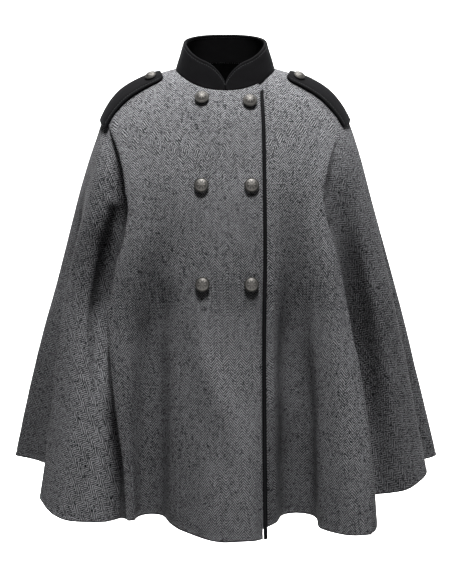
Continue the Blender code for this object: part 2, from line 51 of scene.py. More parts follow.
CLOTH_THICKNESS = 2.6 * MM
SEAM_GAP = 0.3 * MM
COLLAR_THICKNESS = 4.2 * MM
STRAP_THICKNESS = 4.6 * MM
STRAP_WIDTH = 40.0 * MM
BINDING_WIDTH = 6.2 * MM
BINDING_PROUD = 0.7 * MM
BINDING_TOP_LEVEL = 0.02

# The form that the cape hangs on: a ring of cloth at each level from neckline to hem, in mm
SECTION_COLUMNS = (
    "level", "half_width", "front", "back", "side_z",
    "front_z", "back_z", "centre", "squareness", "fall",
)
SECTIONS = (
    (0.00, 76, 65, 60, 0, -31, 10, -2.0, 2.30, 2.0),
    (0.06, 119.5, 88, 84, -13.5, -64, -20, -2.5, 2.20, 1.6),
    (0.12, 157, 104, 101, -34, -98, -55, -3.0, 2.20, 1.55),
    (0.18, 181, 119, 113, -65, -138, -95, -2.5, 2.30, 1.7),
    (0.27, 200.5, 136, 124, -115, -195, -155, -1.0, 2.40, 2.0),
    (0.40, 223, 150, 134, -195, -270, -238, 0.0, 2.40, 2.0),
    (0.60, 253, 165, 150, -318, -385, -365, 0.0, 2.35, 2.0),
    (0.80, 290, 185, 172, -462, -525, -512, 0.0, 2.30, 2.0),
    (1.00, 331, 205, 200, -620, -668, -662, 0.0, 2.25, 2.0),
)

# Where the seams run, as a share of the half width at each level
SEAM_COLUMNS = ("level", "right_front", "left_front", "back")
SEAMS = (
    (0.000, 1.000, 1.000, 1.000),
    (0.152, 1.000, 1.000, 1.000),
    (0.185, 0.950, 0.945, 0.940),
    (0.215, 0.845, 0.835, 0.850),
    (0.255, 0.765, 0.750, 0.790),
    (0.300, 0.715, 0.692, 0.760),
    (0.340, 0.682, 0.683, 0.745),
    (0.400, 0.676, 0.695, 0.735),
    (0.480, 0.697, 0.710, 0.730),
    (0.600, 0.693, 0.715, 0.730),
    (0.700, 0.632, 0.712, 0.725),
    (0.800, 0.558, 0.703, 0.715),
    (0.900, 0.490, 0.677, 0.705),
    (1.000, 0.445, 0.639, 0.695),
)

# Fold lines, each with its place and how far it stands out of the form at three levels
FOLD_LEVELS = (0.20, 0.40, 0.62, 1.00)
RIGHT_FRONT_FOLDS = (
    ("outer edge", -151, -175, -147, 4, 6, -20, 0),
    ("outer flat", -142, -160, -135, 4, 5, -25, 0),
    ("deep valley", -98, -105, -106, -3, -10, -43, 5),
    ("valley side", -70, -70, -66, -1, -3, -7, -2),
    ("centre crest", -25, -20, -4, 3, 10, 30, -7),
    ("lap flat", 30, 30, 30, 3, 9, 31, -5),
    ("bound edge", 58, 58, 58, 2, 6, 22, -5),
)
LEFT_FRONT_FOLDS = (
    ("beside the lap", 74, 74, 76, 0, 0, -27, 5),
    ("deep valley", 100, 99, 99, -2, -9, -45, 5),
    ("valley side", 125, 128, 136, 1, 2, -8, -7),
    ("broad crest", 148, 160, 182, 6, 15, 33, -14),
    ("outer edge", 155, 184, 213, 6, 16, 44, -18),
)
RIGHT_SIDE_FOLDS = (
    ("slit valley", 0.075, 0.091, 0.090, -20, -32, -18, -13),
    ("arm front", 0.157, 0.174, 0.194, -6, -12, 0, -19),
    ("arm crest", 0.280, 0.299, 0.334, 3, 0, -19, -18),
    ("arm valley", 0.423, 0.435, 0.473, -5, -26, -70, 2),
    ("elbow crest", 0.638, 0.643, 0.735, 10, 16, 25, 4),
    ("rear valley", 0.812, 0.821, 0.870, -3, -12, -26, 6),
)
LEFT_SIDE_FOLDS = (
    ("slit valley", 0.080, 0.113, 0.186, -20, -40, -76, -16),
    ("arm front", 0.226, 0.252, 0.324, -8, -14, -38, -15),
    ("arm crest", 0.424, 0.433, 0.482, -1, -5, -19, -3),
    ("arm valley", 0.518, 0.518, 0.571, -3, -10, -24, -2),
    ("elbow crest", 0.643, 0.646, 0.690, 6, 14, 23, 5),
    ("rear valley", 0.809, 0.817, 0.850, -3, -12, -28, 6),
)
BACK_SEAM_OUT = (0, 2, 6, 10)
BACK_FOLDS = (
    ("right outer valley", -146, -146, -147, -2, -8, -22, 4),
    ("right crest", -157, -157, -156, 3, 9, 20, -3),
    ("right inner valley", -168, -168, -167, -2, -7, -22, 4),
    ("centre crest", -179, -179, -178, 2, 8, 18, -3),
    ("left inner valley", -191, -191, -190, -2, -8, -24, 5),
    ("left crest", -203, -203, -202, 3, 9, 22, -3),
    ("left outer valley", -213, -213, -213, -2, -8, -22, 4),
)

# The side piece tucks under the front below the arm slit, and stands back from it along the slit
SLIT_COLUMNS = ("level", "lap", "set_back")
SLIT = (
    (0.000, 0.0, 0.0),
    (0.300, 0.0, 0.0),
    (0.318, 0.0, 3.6),
    (0.350, 8.0, 7.0),
    (0.400, 13.0, 17.0),
    (0.620, 13.0, 17.0),
    (0.700, 12.0, 3.7),
    (1.000, 12.0, 3.7),
)

# The left front runs on behind the right one
UNDERLAP_COLUMNS = ("level", "edge_x", "bound_x", "set_back", "rise")
UNDERLAP = (
    (0.00, -20, 55.0, 3.8, 6),
    (0.12, -40, 58.0, 3.8, 8),
    (0.40, -45, 59.5, 4.2, 9),
    (0.62, -45, 58.0, 9.0, 12),
    (1.00, -45, 60.0, 42.0, 15),
)
SIDE_TOP_LEVEL = 0.1535

# The stand collar's top edge: half width, front, back, side z, front z and back z
COLLAR_TOP = tuple(size * MM for size in (63, 53, 57, 40, 8, 52))
COLLAR_TOP_SQUARENESS = 2.5
COLLAR_SEAT = 0.995
COLLAR_SUNK = 1.2 * MM
COLLAR_CORNER_LENGTH = 27.0 * MM
COLLAR_CORNER_DROP = 0.70
COLLAR_FRONT_GAP = 1.0 * MM
COLLAR_STITCH = 5.5 * MM
COLLAR_INNER_STITCH = 4.7 * MM
# The collar reaches lower beside the lap, where the left front lies deeper
COLLAR_DIP = 2.6 * MM
COLLAR_DIP_X = 51.0 * MM
COLLAR_DIP_WIDTH = 10.0 * MM

FACING_LEVELS = (0.0, 0.09)
FACING_THICKNESS = 1.2 * MM
FACING_GAP = 0.5 * MM
FACING_END = 100.0

STRAP_LEVELS = (0.028, 0.206)
STRAP_FORWARD = (19.0 * MM, 31.0 * MM)
STRAP_END_LENGTH = 15.0 * MM
STRAP_LIFT = 0.9 * MM
STRAP_END_SLANT = 0.8 / 16
STRAP_STITCH = 4.5 * MM
STRAP_ROWS = 17
STRAP_BUTTON_ROW = 2
STRAP_BUTTON_FORWARD = 0.7
STRAP_BUTTON_LEAN = 0.3
# Each shoulder strap's side, node and piece
STRAPS = ((-1, "epaulette_right", "right_strap"), (1, "epaulette_left", "left_strap"))

BUTTON_RADIUS = 11.0 * MM
STRAP_BUTTON_RADIUS = 9.0 * MM
BUTTON_SIDES = 96
BUTTON_RINGS = 110
# How high the relief stands and where the top's middle is, as shares of the radius
BUTTON_RELIEF = 0.028
BUTTON_TOP = 0.735
# Each button's x and z on the right front, in mm
BUTTONS = {
    "button_top_right": (-36.5, -43.0),
    "button_top_left": (34.5, -47.5),
    "button_middle_right": (-36.5, -168.5),
    "button_middle_left": (36.5, -168.5),
    "button_bottom_right": (-34.5, -310.0),
    "button_bottom_left": (36.0, -310.0),
}
# A button's outline: how far out and how high, as shares of its radius
BUTTON_OUTLINE = (
    (0.00, 0.00), (0.28, 0.00), (0.30, 0.02), (0.30, 0.12), (0.34, 0.14), (0.60, 0.14), (0.86, 0.15),
    (0.95, 0.18), (0.99, 0.23), (1.00, 0.28), (0.985, 0.33), (0.94, 0.37), (0.89, 0.38), (0.85, 0.375),
    (0.82, 0.385), (0.76, 0.455), (0.68, 0.525), (0.58, 0.59), (0.46, 0.645), (0.34, 0.68),
    (0.20, 0.70), (0.08, 0.71), (0.00, 0.71),
)

# Creases, which grow downward: the piece, the depth at the end (a trough is below 0) and the half
# width in mm, then the way over the piece as (share across, level) points
CREASES = (
    ("front_right", -20, 23, (
        (0.345, 0.24), (0.356, 0.43), (0.388, 0.57), (0.33, 0.72), (0.253, 0.84), (0.204, 0.94),
        (0.186, 1.0),
    )),
    ("front_right", 7, 24, ((0.58, 0.41), (0.695, 0.59), (0.786, 0.73), (0.846, 0.82), (0.886, 1.0))),
    ("front_left", -27, 25, (
        (0.69, 0.22), (0.665, 0.3), (0.579, 0.53), (0.54, 0.65), (0.527, 0.75), (0.51, 0.86), (0.525, 1.0),
    )),
    ("front_left", 7, 18, ((0.9, 0.2), (0.92, 0.3), (0.9, 0.43), (0.89, 0.62), (0.88, 0.76), (0.89, 1.0))),
    ("side_right", -23, 16, (
        (0.07, 0.12), (0.08, 0.3), (0.15, 0.41), (0.157, 0.52), (0.15, 0.62), (0.127, 0.69), (0.095, 0.78),
        (0.07, 0.87), (0.06, 1.0),
    )),
    ("side_right", -14, 14, ((0.52, 0.3), (0.5, 0.5), (0.5, 0.66), (0.5, 0.78), (0.52, 0.88), (0.53, 1.0))),
    ("side_right", 4, 17, ((0.28, 0.34), (0.36, 0.53), (0.38, 0.65), (0.38, 0.76), (0.38, 1.0))),
    ("side_left", -20, 19, (
        (0.22, 0.28), (0.21, 0.48), (0.205, 0.61), (0.2, 0.71), (0.2, 0.81), (0.19, 1.0),
    )),
    ("side_left", -6, 13, ((0.55, 0.4), (0.6, 0.66), (0.6, 0.76), (0.61, 0.84), (0.62, 0.93), (0.63, 1.0))),
    ("side_left", 4, 20, ((0.33, 0.3), (0.4, 0.5), (0.42, 0.7), (0.45, 0.9), (0.46, 1.0))),
    ("back", -8, 18, ((0.36, 0.35), (0.34, 0.6), (0.33, 1.0))),
    ("back", -8, 18, ((0.61, 0.35), (0.62, 0.6), (0.63, 1.0))),
)
CREASE_GROWTH = 0.6

# The cloth's own slow waves and finer ripples, longer down the cloth than across it
WAVE_DEPTH = 0.7 * MM
WAVE_LENGTH = 50.0 * MM
RIPPLE_DEPTH = 0.2 * MM
RIPPLE_LENGTH = 18.0 * MM
WAVE_STRETCH = 0.3
# Waves and creases fade out this near a sewn edge
HELD_EDGE = 16.0 * MM

# How deep and how wide the cloth is pressed in at its seams and its hem's stitches
SEAM_GROOVE = (0.5 * MM, 2.2 * MM)
HEM_GROOVE = (0.55 * MM, 1.1 * MM)
HEM_SWELL = (0.25 * MM, 3.0 * MM)
HEM_STITCH = 8.0 * MM
HEM_STITCH_SUNK = 0.35 * MM
HEM_TURNING = 26.0 * MM
HEM_TURNING_THICKNESS = 0.9 * MM
HEM_TURNING_END = 25.0 * MM

STITCH_LENGTH = 3.1 * MM
STITCH_STEP = 4.0 * MM
STITCH_RADIUS = 0.28 * MM
STITCH_SIDES = 6
# A stitch's rings: the share of its length, and the height and size as shares of its radius
STITCH_RINGS = ((0.0, -1.0, 0.5), (0.2, 0.6, 1.0), (0.8, 0.6, 1.0), (1.0, -1.0, 0.5))

# The herringbone: yarns across one upright band, the yarns' spacing, and how many of the four
# picks in a rib show the pale warp
BAND_YARNS = 10
WARP_PITCH = 0.86 * MM
WEFT_PITCH = 1.0 * MM
RIB_PICKS = 4.0
RIB_WARP = 1.5
LIGHT_YARN = (0.14, 0.14, 0.147, 1)
DARK_YARN = (0.002, 0.002, 0.0024, 1)
# How far in from the cloth's edges the painted highlight reaches
PAINTED_EDGE_HIGHLIGHT_WIDTH = 1.6 * MM

FELT_DARK = (0.0011, 0.0011, 0.0013, 1)
FELT_PALE = (0.0052, 0.0052, 0.006, 1)
CHARCOAL = (0.02, 0.02, 0.022, 1)
BLACK = (0.008, 0.008, 0.009, 1)
PEWTER_DARK = (0.012, 0.0115, 0.0105, 1)
PEWTER_RUBBED = (0.11, 0.104, 0.097, 1)
PALE_FLOOR = (0.98, 0.98, 0.98, 1)

CAMERA_TARGET = Vector((-0.0008, 0.0, -0.3434))
CAMERA_DISTANCE = 2.6
CAMERA_ELEVATION = math.radians(8)
CAMERA_LENS = 103.4
FLOOR_Z = -1.42
FLOOR_HALF_WIDTH = 7.0
SWEEP_START = 5.4
SWEEP_RADIUS = 1.6
SWEEP_TOP = 4.0
LIT_POINT = (0, 0, -0.33)
# Each soft light's place, size and watts
LIGHTS = {
    "overhead softbox": ((0.1, -1.25, 5.54), 1.2, 1650),
    "rear overhead softbox": ((0, 1.5, 5.4), 1.4, 700),
    "front fill": ((-0.4, -3.9, 0.4), 1.5, 17),
    "rear right softbox": ((4.6, 1.3, 0.9), 1.2, 55),
    "rear fill": ((0.5, 4.0, 0.5), 1.5, 16),
    "rear left softbox": ((-2.2, 4.2, 0.9), 1.2, 40),
}


def smooth(xs, ys, x):
    """A smooth curve through the points that never overshoots between them."""
    xs = np.asarray(xs, float)
    ys = np.asarray(ys, float)
    step = np.diff(xs)
    slope = np.diff(ys) / step
    tangent = np.zeros(len(xs))
    for i in range(1, len(xs) - 1):
        if slope[i - 1] * slope[i] > 0:
            before = 2 * step[i] + step[i - 1]
            after = step[i] + 2 * step[i - 1]
            tangent[i] = (before + after) / (before / slope[i - 1] + after / slope[i])
    tangent[0] = slope[0]
    tangent[-1] = slope[-1]
    x = np.clip(x, xs[0], xs[-1])
    i = np.clip(np.searchsorted(xs, x, side="right") - 1, 0, len(step) - 1)
    t = (x - xs[i]) / step[i]
    rise = ys[i] * (1 + 2 * t) * (1 - t) ** 2 + ys[i + 1] * t * t * (3 - 2 * t)
    return rise + step[i] * (tangent[i] * t * (1 - t) ** 2 - tangent[i + 1] * t * t * (1 - t))


def ease(x):
    """A soft step from 0 to 1."""
    x = np.clip(x, 0, 1)
    return x * x * (3 - 2 * x)


def bell(distance, width):
    """A soft bump: 1 at no distance, and nearly 0 past twice the width."""
    return np.exp(-((distance / width) ** 2))


def groove(distance, size):
    """How deep a groove of this depth and width is at a distance from its line."""
    depth, width = size
    return depth * bell(distance, width)


def bulge(value, power):
    """A power of a value that keeps its sign."""
    return np.sign(value) * np.abs(value) ** power


def column(table, columns, name, level):
    """One named column of a table, read at a level."""
    rows = np.array(table, float)
    return smooth(rows[:, 0], rows[:, columns.index(name)], level)


@functools.lru_cache(maxsize=None)
def section(name, level):
    """One size of the form at a level."""
    value = column(SECTIONS, SECTION_COLUMNS, name, level)
    return value if name in ("squareness", "fall") else value * MM


def angle_of_share(share, level):
    """The angle round the wearer at which the form is this share of its half width, in degrees."""
    power = section("squareness", level) / 2
    return np.degrees(np.arcsin(np.sign(share) * np.clip(np.abs(share), 0, 1) ** power))


def angle_of_x(x, level):
    """The angle at which the front of the form has this x."""
    return angle_of_share((x - section("centre", level)) / section("half_width", level), level)


def form(angle, level):
    """The point of the form and its level outward direction, at an angle from the front's middle."""
    turn = np.radians(angle)
    sine, cosine = np.sin(turn), np.cos(turn)
    power = 2 / section("squareness", level)
    wide = section("half_width", level)
    deep = np.where(cosine > 0, section("front", level), section("back", level))
    end_z = np.where(cosine > 0, section("front_z", level), section("back_z", level))
    side_z = section("side_z", level)
    x = section("centre", level) + wide * bulge(sine, power)
    y = -deep * bulge(cosine, power)
    z = side_z + (end_z - side_z) * np.abs(y / deep) ** section("fall", level)
    across = bulge(sine, 2 - power) / wide
    along = -bulge(cosine, 2 - power) / deep
    length = np.hypot(across, along)
    return np.stack([x, y, z], -1), np.stack([across / length, along / length, 0 * z], -1)


@functools.lru_cache(maxsize=None)
def at_level(line, level):
    """A fold line's place, its stand-out and its drop at the hem, at one level."""
    _, chest, waist, hem, out_chest, out_waist, out_hem, hem_z = line
    place = smooth(FOLD_LEVELS, (chest, chest, waist, hem), level)
    out = smooth(FOLD_LEVELS, (0, out_chest, out_waist, out_hem), level) * MM
    drop = smooth((0.0, 0.55, 1.0), (0, 0, hem_z), level) * MM
    return place, out, drop


def right_front_push(x, level):
    """How far the right front stands forward of the form, and its drop."""
    lines = [at_level(line, level) for line in RIGHT_FRONT_FOLDS]
    places = [place * MM for place, _, _ in lines]
    return (
        smooth(places, [out for _, out, _ in lines], x),
        smooth(places, [drop for _, _, drop in lines], x),
    )


@functools.lru_cache(maxsize=None)
def underlap_at(level):
    """Where the underlap ends, the bound edge's x, the fronts' distance and where they part."""
    return [column(UNDERLAP, UNDERLAP_COLUMNS, name, level) * MM for name in UNDERLAP_COLUMNS[1:]]


def left_front_push(x, level):
    """The same for the left front, whose underlap has the right front's own shape."""
    edge, bound, _, _ = underlap_at(level)
    places, outs, drops = [], [], []
    for place in (edge, (edge + bound) / 2, bound):
        out, drop = right_front_push(place, level)
        places.append(place)
        outs.append(out)
        drops.append(drop)
    for line in LEFT_FRONT_FOLDS:
        place, out, drop = at_level(line, level)
        places.append(place * MM)
        outs.append(out)
        drops.append(drop)
    return smooth(places, outs, x), smooth(places, drops, x)


def front_points(push, angles, level):
    """A row of a front's outer points."""
    points, _ = form(angles, level)
    out, drop = push(points[:, 0], level)
    points[:, 1] -= out
    points[:, 2] += drop
    return points


def front_normals(push, angles, level, step=0.002):
    """The direction out of a front at each of its outer points."""
    low, high = max(level - step, 0), min(level + step, 1)
    down = front_points(push, angles, high) - front_points(push, angles, low)
    along = front_points(push, angles + 0.3, level) - front_points(push, angles - 0.3, level)
    normal = np.cross(down, along)
    return normal / np.linalg.norm(normal, axis=1, keepdims=True)


def left_front_points(angles, level):
    """A row of the left front's points, which lie behind the right front up to its bound edge."""
    _, bound, set_back, rise = underlap_at(level)
    points = front_points(left_front_push, angles, level)
    normals = front_normals(left_front_push, angles, level)
    behind = ease(1 - (points[:, 0] - bound) / rise)
    return points - normals * (behind * set_back)[:, None]


# What each side of the wearer has: its front seam, that front's shape and the side piece's folds
SIDE_PARTS = {
    -1: ("right_front", right_front_push, RIGHT_SIDE_FOLDS),
    1: ("left_front", left_front_push, LEFT_SIDE_FOLDS),
}


@functools.lru_cache(maxsize=None)
def seam_angle(name, level):
    """Where a seam crosses a level, in degrees from the front's middle, without its side's sign."""
    share = column(SEAMS, SEAM_COLUMNS, name, level)
    angle = angle_of_share(share, level)
    return 180 - angle if name == "back" else angle


@functools.lru_cache(maxsize=None)
def slit_at(level):
    """How far the side piece laps under the front and stands back from it."""
    return [column(SLIT, SLIT_COLUMNS, name, level) * MM for name in ("lap", "set_back")]


@functools.lru_cache(maxsize=None)
def lap_angle(name, lap, level):
    """The angle that a lap of this length takes up at the front seam."""
    seam = seam_angle(name, level)
    share = column(SEAMS, SEAM_COLUMNS, name, level)
    return seam - angle_of_share(share - lap / section("half_width", level), level)


@functools.lru_cache(maxsize=None)
def back_seam_shift(side, end, level):
    """The side piece and the back meet at this shift from the form."""
    _, outward = form(side * end, level)
    return outward * smooth(FOLD_LEVELS, BACK_SEAM_OUT, level) * MM


def side_points(side, angles, level):
    """A row of a side piece's outer points. side is -1 for the wearer's right, 1 for the left."""
    name, push, folds = SIDE_PARTS[side]
    seam = seam_angle(name, level)
    lap, set_back = slit_at(level)
    tucked = seam - lap_angle(name, lap, level)
    places, shifts, drops = [], [], []
    for place in (tucked, seam) if seam - tucked > 0.1 else (seam,):
        point, outward = form(side * place, level)
        out, drop = push(point[0], level)
        places.append(place)
        shifts.append(np.array([0, -out, 0]) - outward * set_back)
        drops.append(drop)
    end = seam_angle("back", level)
    for line in folds:
        share, out, drop = at_level(line, level)
        place = seam + (end - seam) * share
        _, outward = form(side * place, level)
        places.append(place)
        shifts.append(outward * out)
        drops.append(drop)
    places.append(end)
    shifts.append(back_seam_shift(side, end, level))
    drops.append(0.0)
    points, _ = form(side * angles, level)
    for axis in range(2):
        points[:, axis] += smooth(places, [shift[axis] for shift in shifts], angles)
    points[:, 2] += smooth(places, drops, angles)
    return points


def back_points(angles, level):
    """A row of the back's outer points, from the right seam to the left one."""
    end = seam_angle("back", level)
    places, shifts, drops = [end], [back_seam_shift(-1, end, level)], [0.0]
    for line in BACK_FOLDS:
        place, out, drop = at_level(line, level)
        _, outward = form(place, level)
        places.append(-place)
        shifts.append(outward * out)
        drops.append(drop)
    places.append(360 - end)
    shifts.append(back_seam_shift(1, end, level))
    drops.append(0.0)
    points, _ = form(-angles, level)
    for axis in range(2):
        points[:, axis] += smooth(places, [shift[axis] for shift in shifts], angles)
    points[:, 2] += smooth(places, drops, angles)
    return points


def right_front_row(shares, level):
    """Points of the right front, from its outer seam to the bound edge."""
    _, bound, _, _ = underlap_at(level)
    start = -seam_angle("right_front", level)
    stop = angle_of_x(bound - BINDING_WIDTH, level)
    return front_points(right_front_push, start + (stop - start) * shares, level)


def left_front_row(shares, level):
    """Points of the left front, from the hidden underlap to its outer seam."""
    edge, _, _, _ = underlap_at(level)
    start = angle_of_x(edge, level)
    stop = seam_angle("left_front", level)
    return left_front_points(start + (stop - start) * shares, level)


def side_row(side, shares, level):
    """Points of a side piece, from its front edge round to the back seam."""
    name, _, _ = SIDE_PARTS[side]
    lap, _ = slit_at(level)
    start = seam_angle(name, level) - lap_angle(name, lap, level)
    stop = seam_angle("back", level)
    return side_points(side, start + (stop - start) * shares, level)


def right_side_row(shares, level):
    """Points of the wearer's right side piece."""
    return side_row(-1, shares, level)


def left_side_row(shares, level):
    """Points of the wearer's left side piece."""
    return side_row(1, shares, level)


def back_row(shares, level):
    """Points of the back, from the right seam to the left one."""
    end = seam_angle("back", level)
    return back_points(end + (360 - 2 * end) * shares, level)


def travelled(points, axis=0):
    """The distance along lines of points, from their first ones."""
    steps = np.linalg.norm(np.diff(points, axis=axis), axis=-1)
    start = np.zeros_like(np.take(steps, [0], axis=axis))
    return np.concatenate([start, np.cumsum(steps, axis=axis)], axis=axis)


def edge_spacing(length, count, first_gap=0.0, last_gap=0.0):
    """Places along a length: close together at its ends, where the cloth's edge rounds over."""
    near = np.minimum(np.array((0.0, 0.35, 1.3)) * MM, length * np.array((0.0, 0.02, 0.06)))
    start = first_gap + near
    stop = length - last_gap - near[::-1]
    return np.concatenate([start, np.linspace(start[-1], stop[0], count - 4)[1:-1], stop])


def cloth_grid(row, top_level, rows, columns, gaps):
    """A fine grid of a panel's points, with each point's share across and level."""
    coarse = np.linspace(top_level, 1, 160)
    middle = np.array([row(np.array([0.5]), level)[0] for level in coarse])
    down = travelled(middle)
    levels = np.interp(edge_spacing(down[-1], rows, gaps["top"]), down, coarse)
    even = np.linspace(0, 1, 121)
    points, shares = [], []
    for level in levels:
        along = travelled(row(even, level))
        places = edge_spacing(along[-1], columns, gaps["first"], gaps["last"])
        share = np.interp(places, along, even)
        shares.append(share)
        points.append(row(share, level))
    return np.array(points), np.array(shares), levels


def outward_normals(grid):
    """The direction out of the cloth at each point of a grid."""
    normal = np.cross(np.gradient(grid, axis=0), np.gradient(grid, axis=1))
    normal /= np.maximum(np.linalg.norm(normal, axis=2, keepdims=True), 1e-12)
    outward = grid * (1, 1, 0)
    return normal * np.sign((normal * outward).sum())


def flat_pattern(points, reference, steps=260):
    """The cut piece that a grid of points was before it was hung, found by making its lengths true.

    reference is the share across of the line that the cloth's grain is laid along.
    """
    rows, columns = points.shape[:2]
    index = np.arange(rows * columns).reshape(rows, columns)
    pairs = np.concatenate([
        np.stack([index[:, :-1].ravel(), index[:, 1:].ravel()], 1),
        np.stack([index[:-1].ravel(), index[1:].ravel()], 1),
        np.stack([index[:-1, :-1].ravel(), index[1:, 1:].ravel()], 1),
        np.stack([index[:-1, 1:].ravel(), index[1:, :-1].ravel()], 1),
    ])
    one, two = pairs.T
    flat = points.reshape(-1, 3)
    length = np.maximum(np.linalg.norm(flat[one] - flat[two], axis=1), 1e-5)
    weight = 1 / np.maximum(length, 2 * MM)
    stiffness = np.full((len(flat), len(flat)), 1.0 / len(flat))
    np.add.at(stiffness, (one, one), weight)
    np.add.at(stiffness, (two, two), weight)
    np.add.at(stiffness, (one, two), -weight)
    np.add.at(stiffness, (two, one), -weight)
    inverse = np.linalg.inv(stiffness)
    middle = int(round(reference * (columns - 1)))
    across = travelled(points, axis=1)
    across = across - across[:, middle:middle + 1]
    down = -travelled(points, axis=0)
    place = np.stack([across.ravel(), down.ravel()], 1)
    place -= place.mean(axis=0)
    for _ in range(steps):
        gap = place[one] - place[two]
        pull = (weight * length / np.maximum(np.linalg.norm(gap, axis=1), 1e-9))[:, None] * gap
        force = np.zeros_like(place)
        np.add.at(force, one, pull)
        np.add.at(force, two, -pull)
        place = inverse @ force
    place = place.reshape(rows, columns, 2)
    line = place[:, middle]
    turn = math.atan2(*(line[0] - line[-1]))
    cosine, sine = math.cos(turn), math.sin(turn)
    return place @ np.array([[cosine, sine], [-sine, cosine]])


def read_pattern(pattern, pattern_levels, shares, levels):
    """The flat place of each share across and level, both given as arrays of one shape."""
    even = np.linspace(0, 1, pattern.shape[1])
    row = np.clip(np.searchsorted(pattern_levels, levels, side="right") - 1, 0, len(pattern_levels) - 2)
    rise = (levels - pattern_levels[row]) / (pattern_levels[row + 1] - pattern_levels[row])
    spot = np.clip(shares, 0, 1) * (len(even) - 1)
    col = np.clip(spot.astype(int), 0, len(even) - 2)
    run = (spot - col)[..., None]
    rise = rise[..., None]
    upper = pattern[row, col] * (1 - run) + pattern[row, col + 1] * run
    lower = pattern[row + 1, col] * (1 - run) + pattern[row + 1, col + 1] * run
    return upper * (1 - rise) + lower * rise


def distance_to_path(places, path):
    """Each place's distance from a path in the flat, and how far along the path it lies, 0 to 1."""
    best = np.full(places.shape[:-1], 1e9)
    where = np.zeros(places.shape[:-1])
    lengths = np.linalg.norm(np.diff(path, axis=0), axis=1)
    before = np.append(0, np.cumsum(lengths))
    for start, stop, length, done in zip(path, path[1:], lengths, before):
        way = (stop - start) / length
        along = np.clip((places - start) @ way, 0, length)
        gap = np.linalg.norm(places - start - along[..., None] * way, axis=-1)
        nearer = gap < best
        best = np.where(nearer, gap, best)
        where = np.where(nearer, (done + along) / before[-1], where)
    return best, where


def through(points, count=24):
    """A smooth way through a few points."""
    points = np.array(points, float)
    at = np.append(0, np.cumsum(np.linalg.norm(np.diff(points, axis=0), axis=1)))
    fine = np.linspace(0, at[-1], count)
    return np.stack([smooth(at, points[:, axis], fine) for axis in range(2)], 1)


def mark_cloth(mesh, cloth):
    """Keeps each point's place in the flat cloth and its distance to the edge, for the finish."""
    mesh.attributes.new("cloth", "FLOAT_VECTOR", "POINT")
    mesh.attributes["cloth"].data.foreach_set("vector", cloth.astype(np.float32).ravel())


def shell(name, outer, inner, cloth):
    """A closed wall between two grids of points. cloth is each point's (u, v, distance to the edge)."""
    rows, columns = outer.shape[:2]
    points = np.concatenate([outer.reshape(-1, 3), inner.reshape(-1, 3)])
    index = np.arange(rows * columns).reshape(rows, columns)
    quads = np.stack([index[:-1, :-1], index[1:, :-1], index[1:, 1:], index[:-1, 1:]], -1).reshape(-1, 4)
    rim = np.concatenate([index[0, :-1], index[:-1, -1], index[-1, :0:-1], index[:0:-1, 0]])
    after = np.roll(rim, -1)
    skip = rows * columns
    edges = np.stack([rim, after, after + skip, rim + skip], -1)
    faces = np.concatenate([quads, quads[:, ::-1] + skip, edges])
    mesh = bpy.data.meshes.new(name)
    mesh.from_pydata(points.tolist(), [], faces.tolist())
    mark_cloth(mesh, np.concatenate([cloth.reshape(-1, 3), cloth.reshape(-1, 3)]))
    mesh.validate()
    return link_mesh(name, mesh)


def link_mesh(name, mesh):
    """Links a mesh as a smooth piece of the cape with its faces outward."""
    made = bmesh.new()
    made.from_mesh(mesh)
    bmesh.ops.recalc_face_normals(made, faces=made.faces)
    made.to_mesh(mesh)
    made.free()
    mesh.shade_smooth()
    piece = bpy.data.objects.new(name, mesh)
    bpy.context.scene.collection.objects.link(piece)
    return piece


def stand_for(piece, node):
    """The piece takes the place of a solid, on its body."""
    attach(piece, "root")
    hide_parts(node)


def rounding(distance, thickness):
    """How far the cloth's face draws in near an edge, so that the edge is round."""
    radius = thickness / 2
    near = np.clip(radius - distance, 0, radius)
    return radius - np.sqrt(radius ** 2 - near ** 2)


def wander(places, size, seed):
    """Slow unevenness over the flat cloth, from -1 to 1, for waves of this size."""
    flat = places.reshape(-1, 2) / size
    values = [noise.noise(Vector((u, v, seed))) for u, v in flat]
    return np.array(values).reshape(places.shape[:-1]) * 1.6


# How each panel is cut and set in. Gaps are in mm and the grain's turn in degrees
Panel = collections.namedtuple(
    "Panel", "piece row top_level rows columns grain_line grain_turn gaps seams"
)
PANELS = {
    "front_right": Panel(
        "right_front_cloth", right_front_row, 0.0, 215, 84, 1.0, 0.0,
        {"first": 0.15, "last": 0.45, "top": 0.1}, ("last", "top"),
    ),
    "front_left": Panel(
        "left_front_cloth", left_front_row, 0.0, 215, 92, 0.42, 0.0,
        {"first": 0.0, "last": 0.15, "top": 0.1}, ("top",),
    ),
    "side_right": Panel(
        "right_side_cloth", right_side_row, SIDE_TOP_LEVEL, 190, 118, 0.35, 38.0,
        {"first": 0.15, "last": 0.15, "top": 0.6}, ("last",),
    ),
    "side_left": Panel(
        "left_side_cloth", left_side_row, SIDE_TOP_LEVEL, 190, 118, 0.35, -38.0,
        {"first": 0.15, "last": 0.15, "top": 0.6}, ("last",),
    ),
    "back": Panel(
        "back_cloth", back_row, 0.0, 215, 170, 0.5, 0.0,
        {"first": 0.15, "last": 0.15, "top": 0.1}, ("first", "last", "top"),
    ),
}


def crease_depth(node, pattern, pattern_levels, places):
    """How far the panel's creases move each point out."""
    out = np.zeros(places.shape[:-1])
    for piece, depth, width, path in CREASES:
        if piece != node:
            continue
        way = through(path)
        flat_way = read_pattern(pattern, pattern_levels, way[:, 0], way[:, 1])
        gap, along = distance_to_path(places, flat_way)
        out += depth * MM * ease(along / CREASE_GROWTH) * bell(gap, width * MM)
    return out


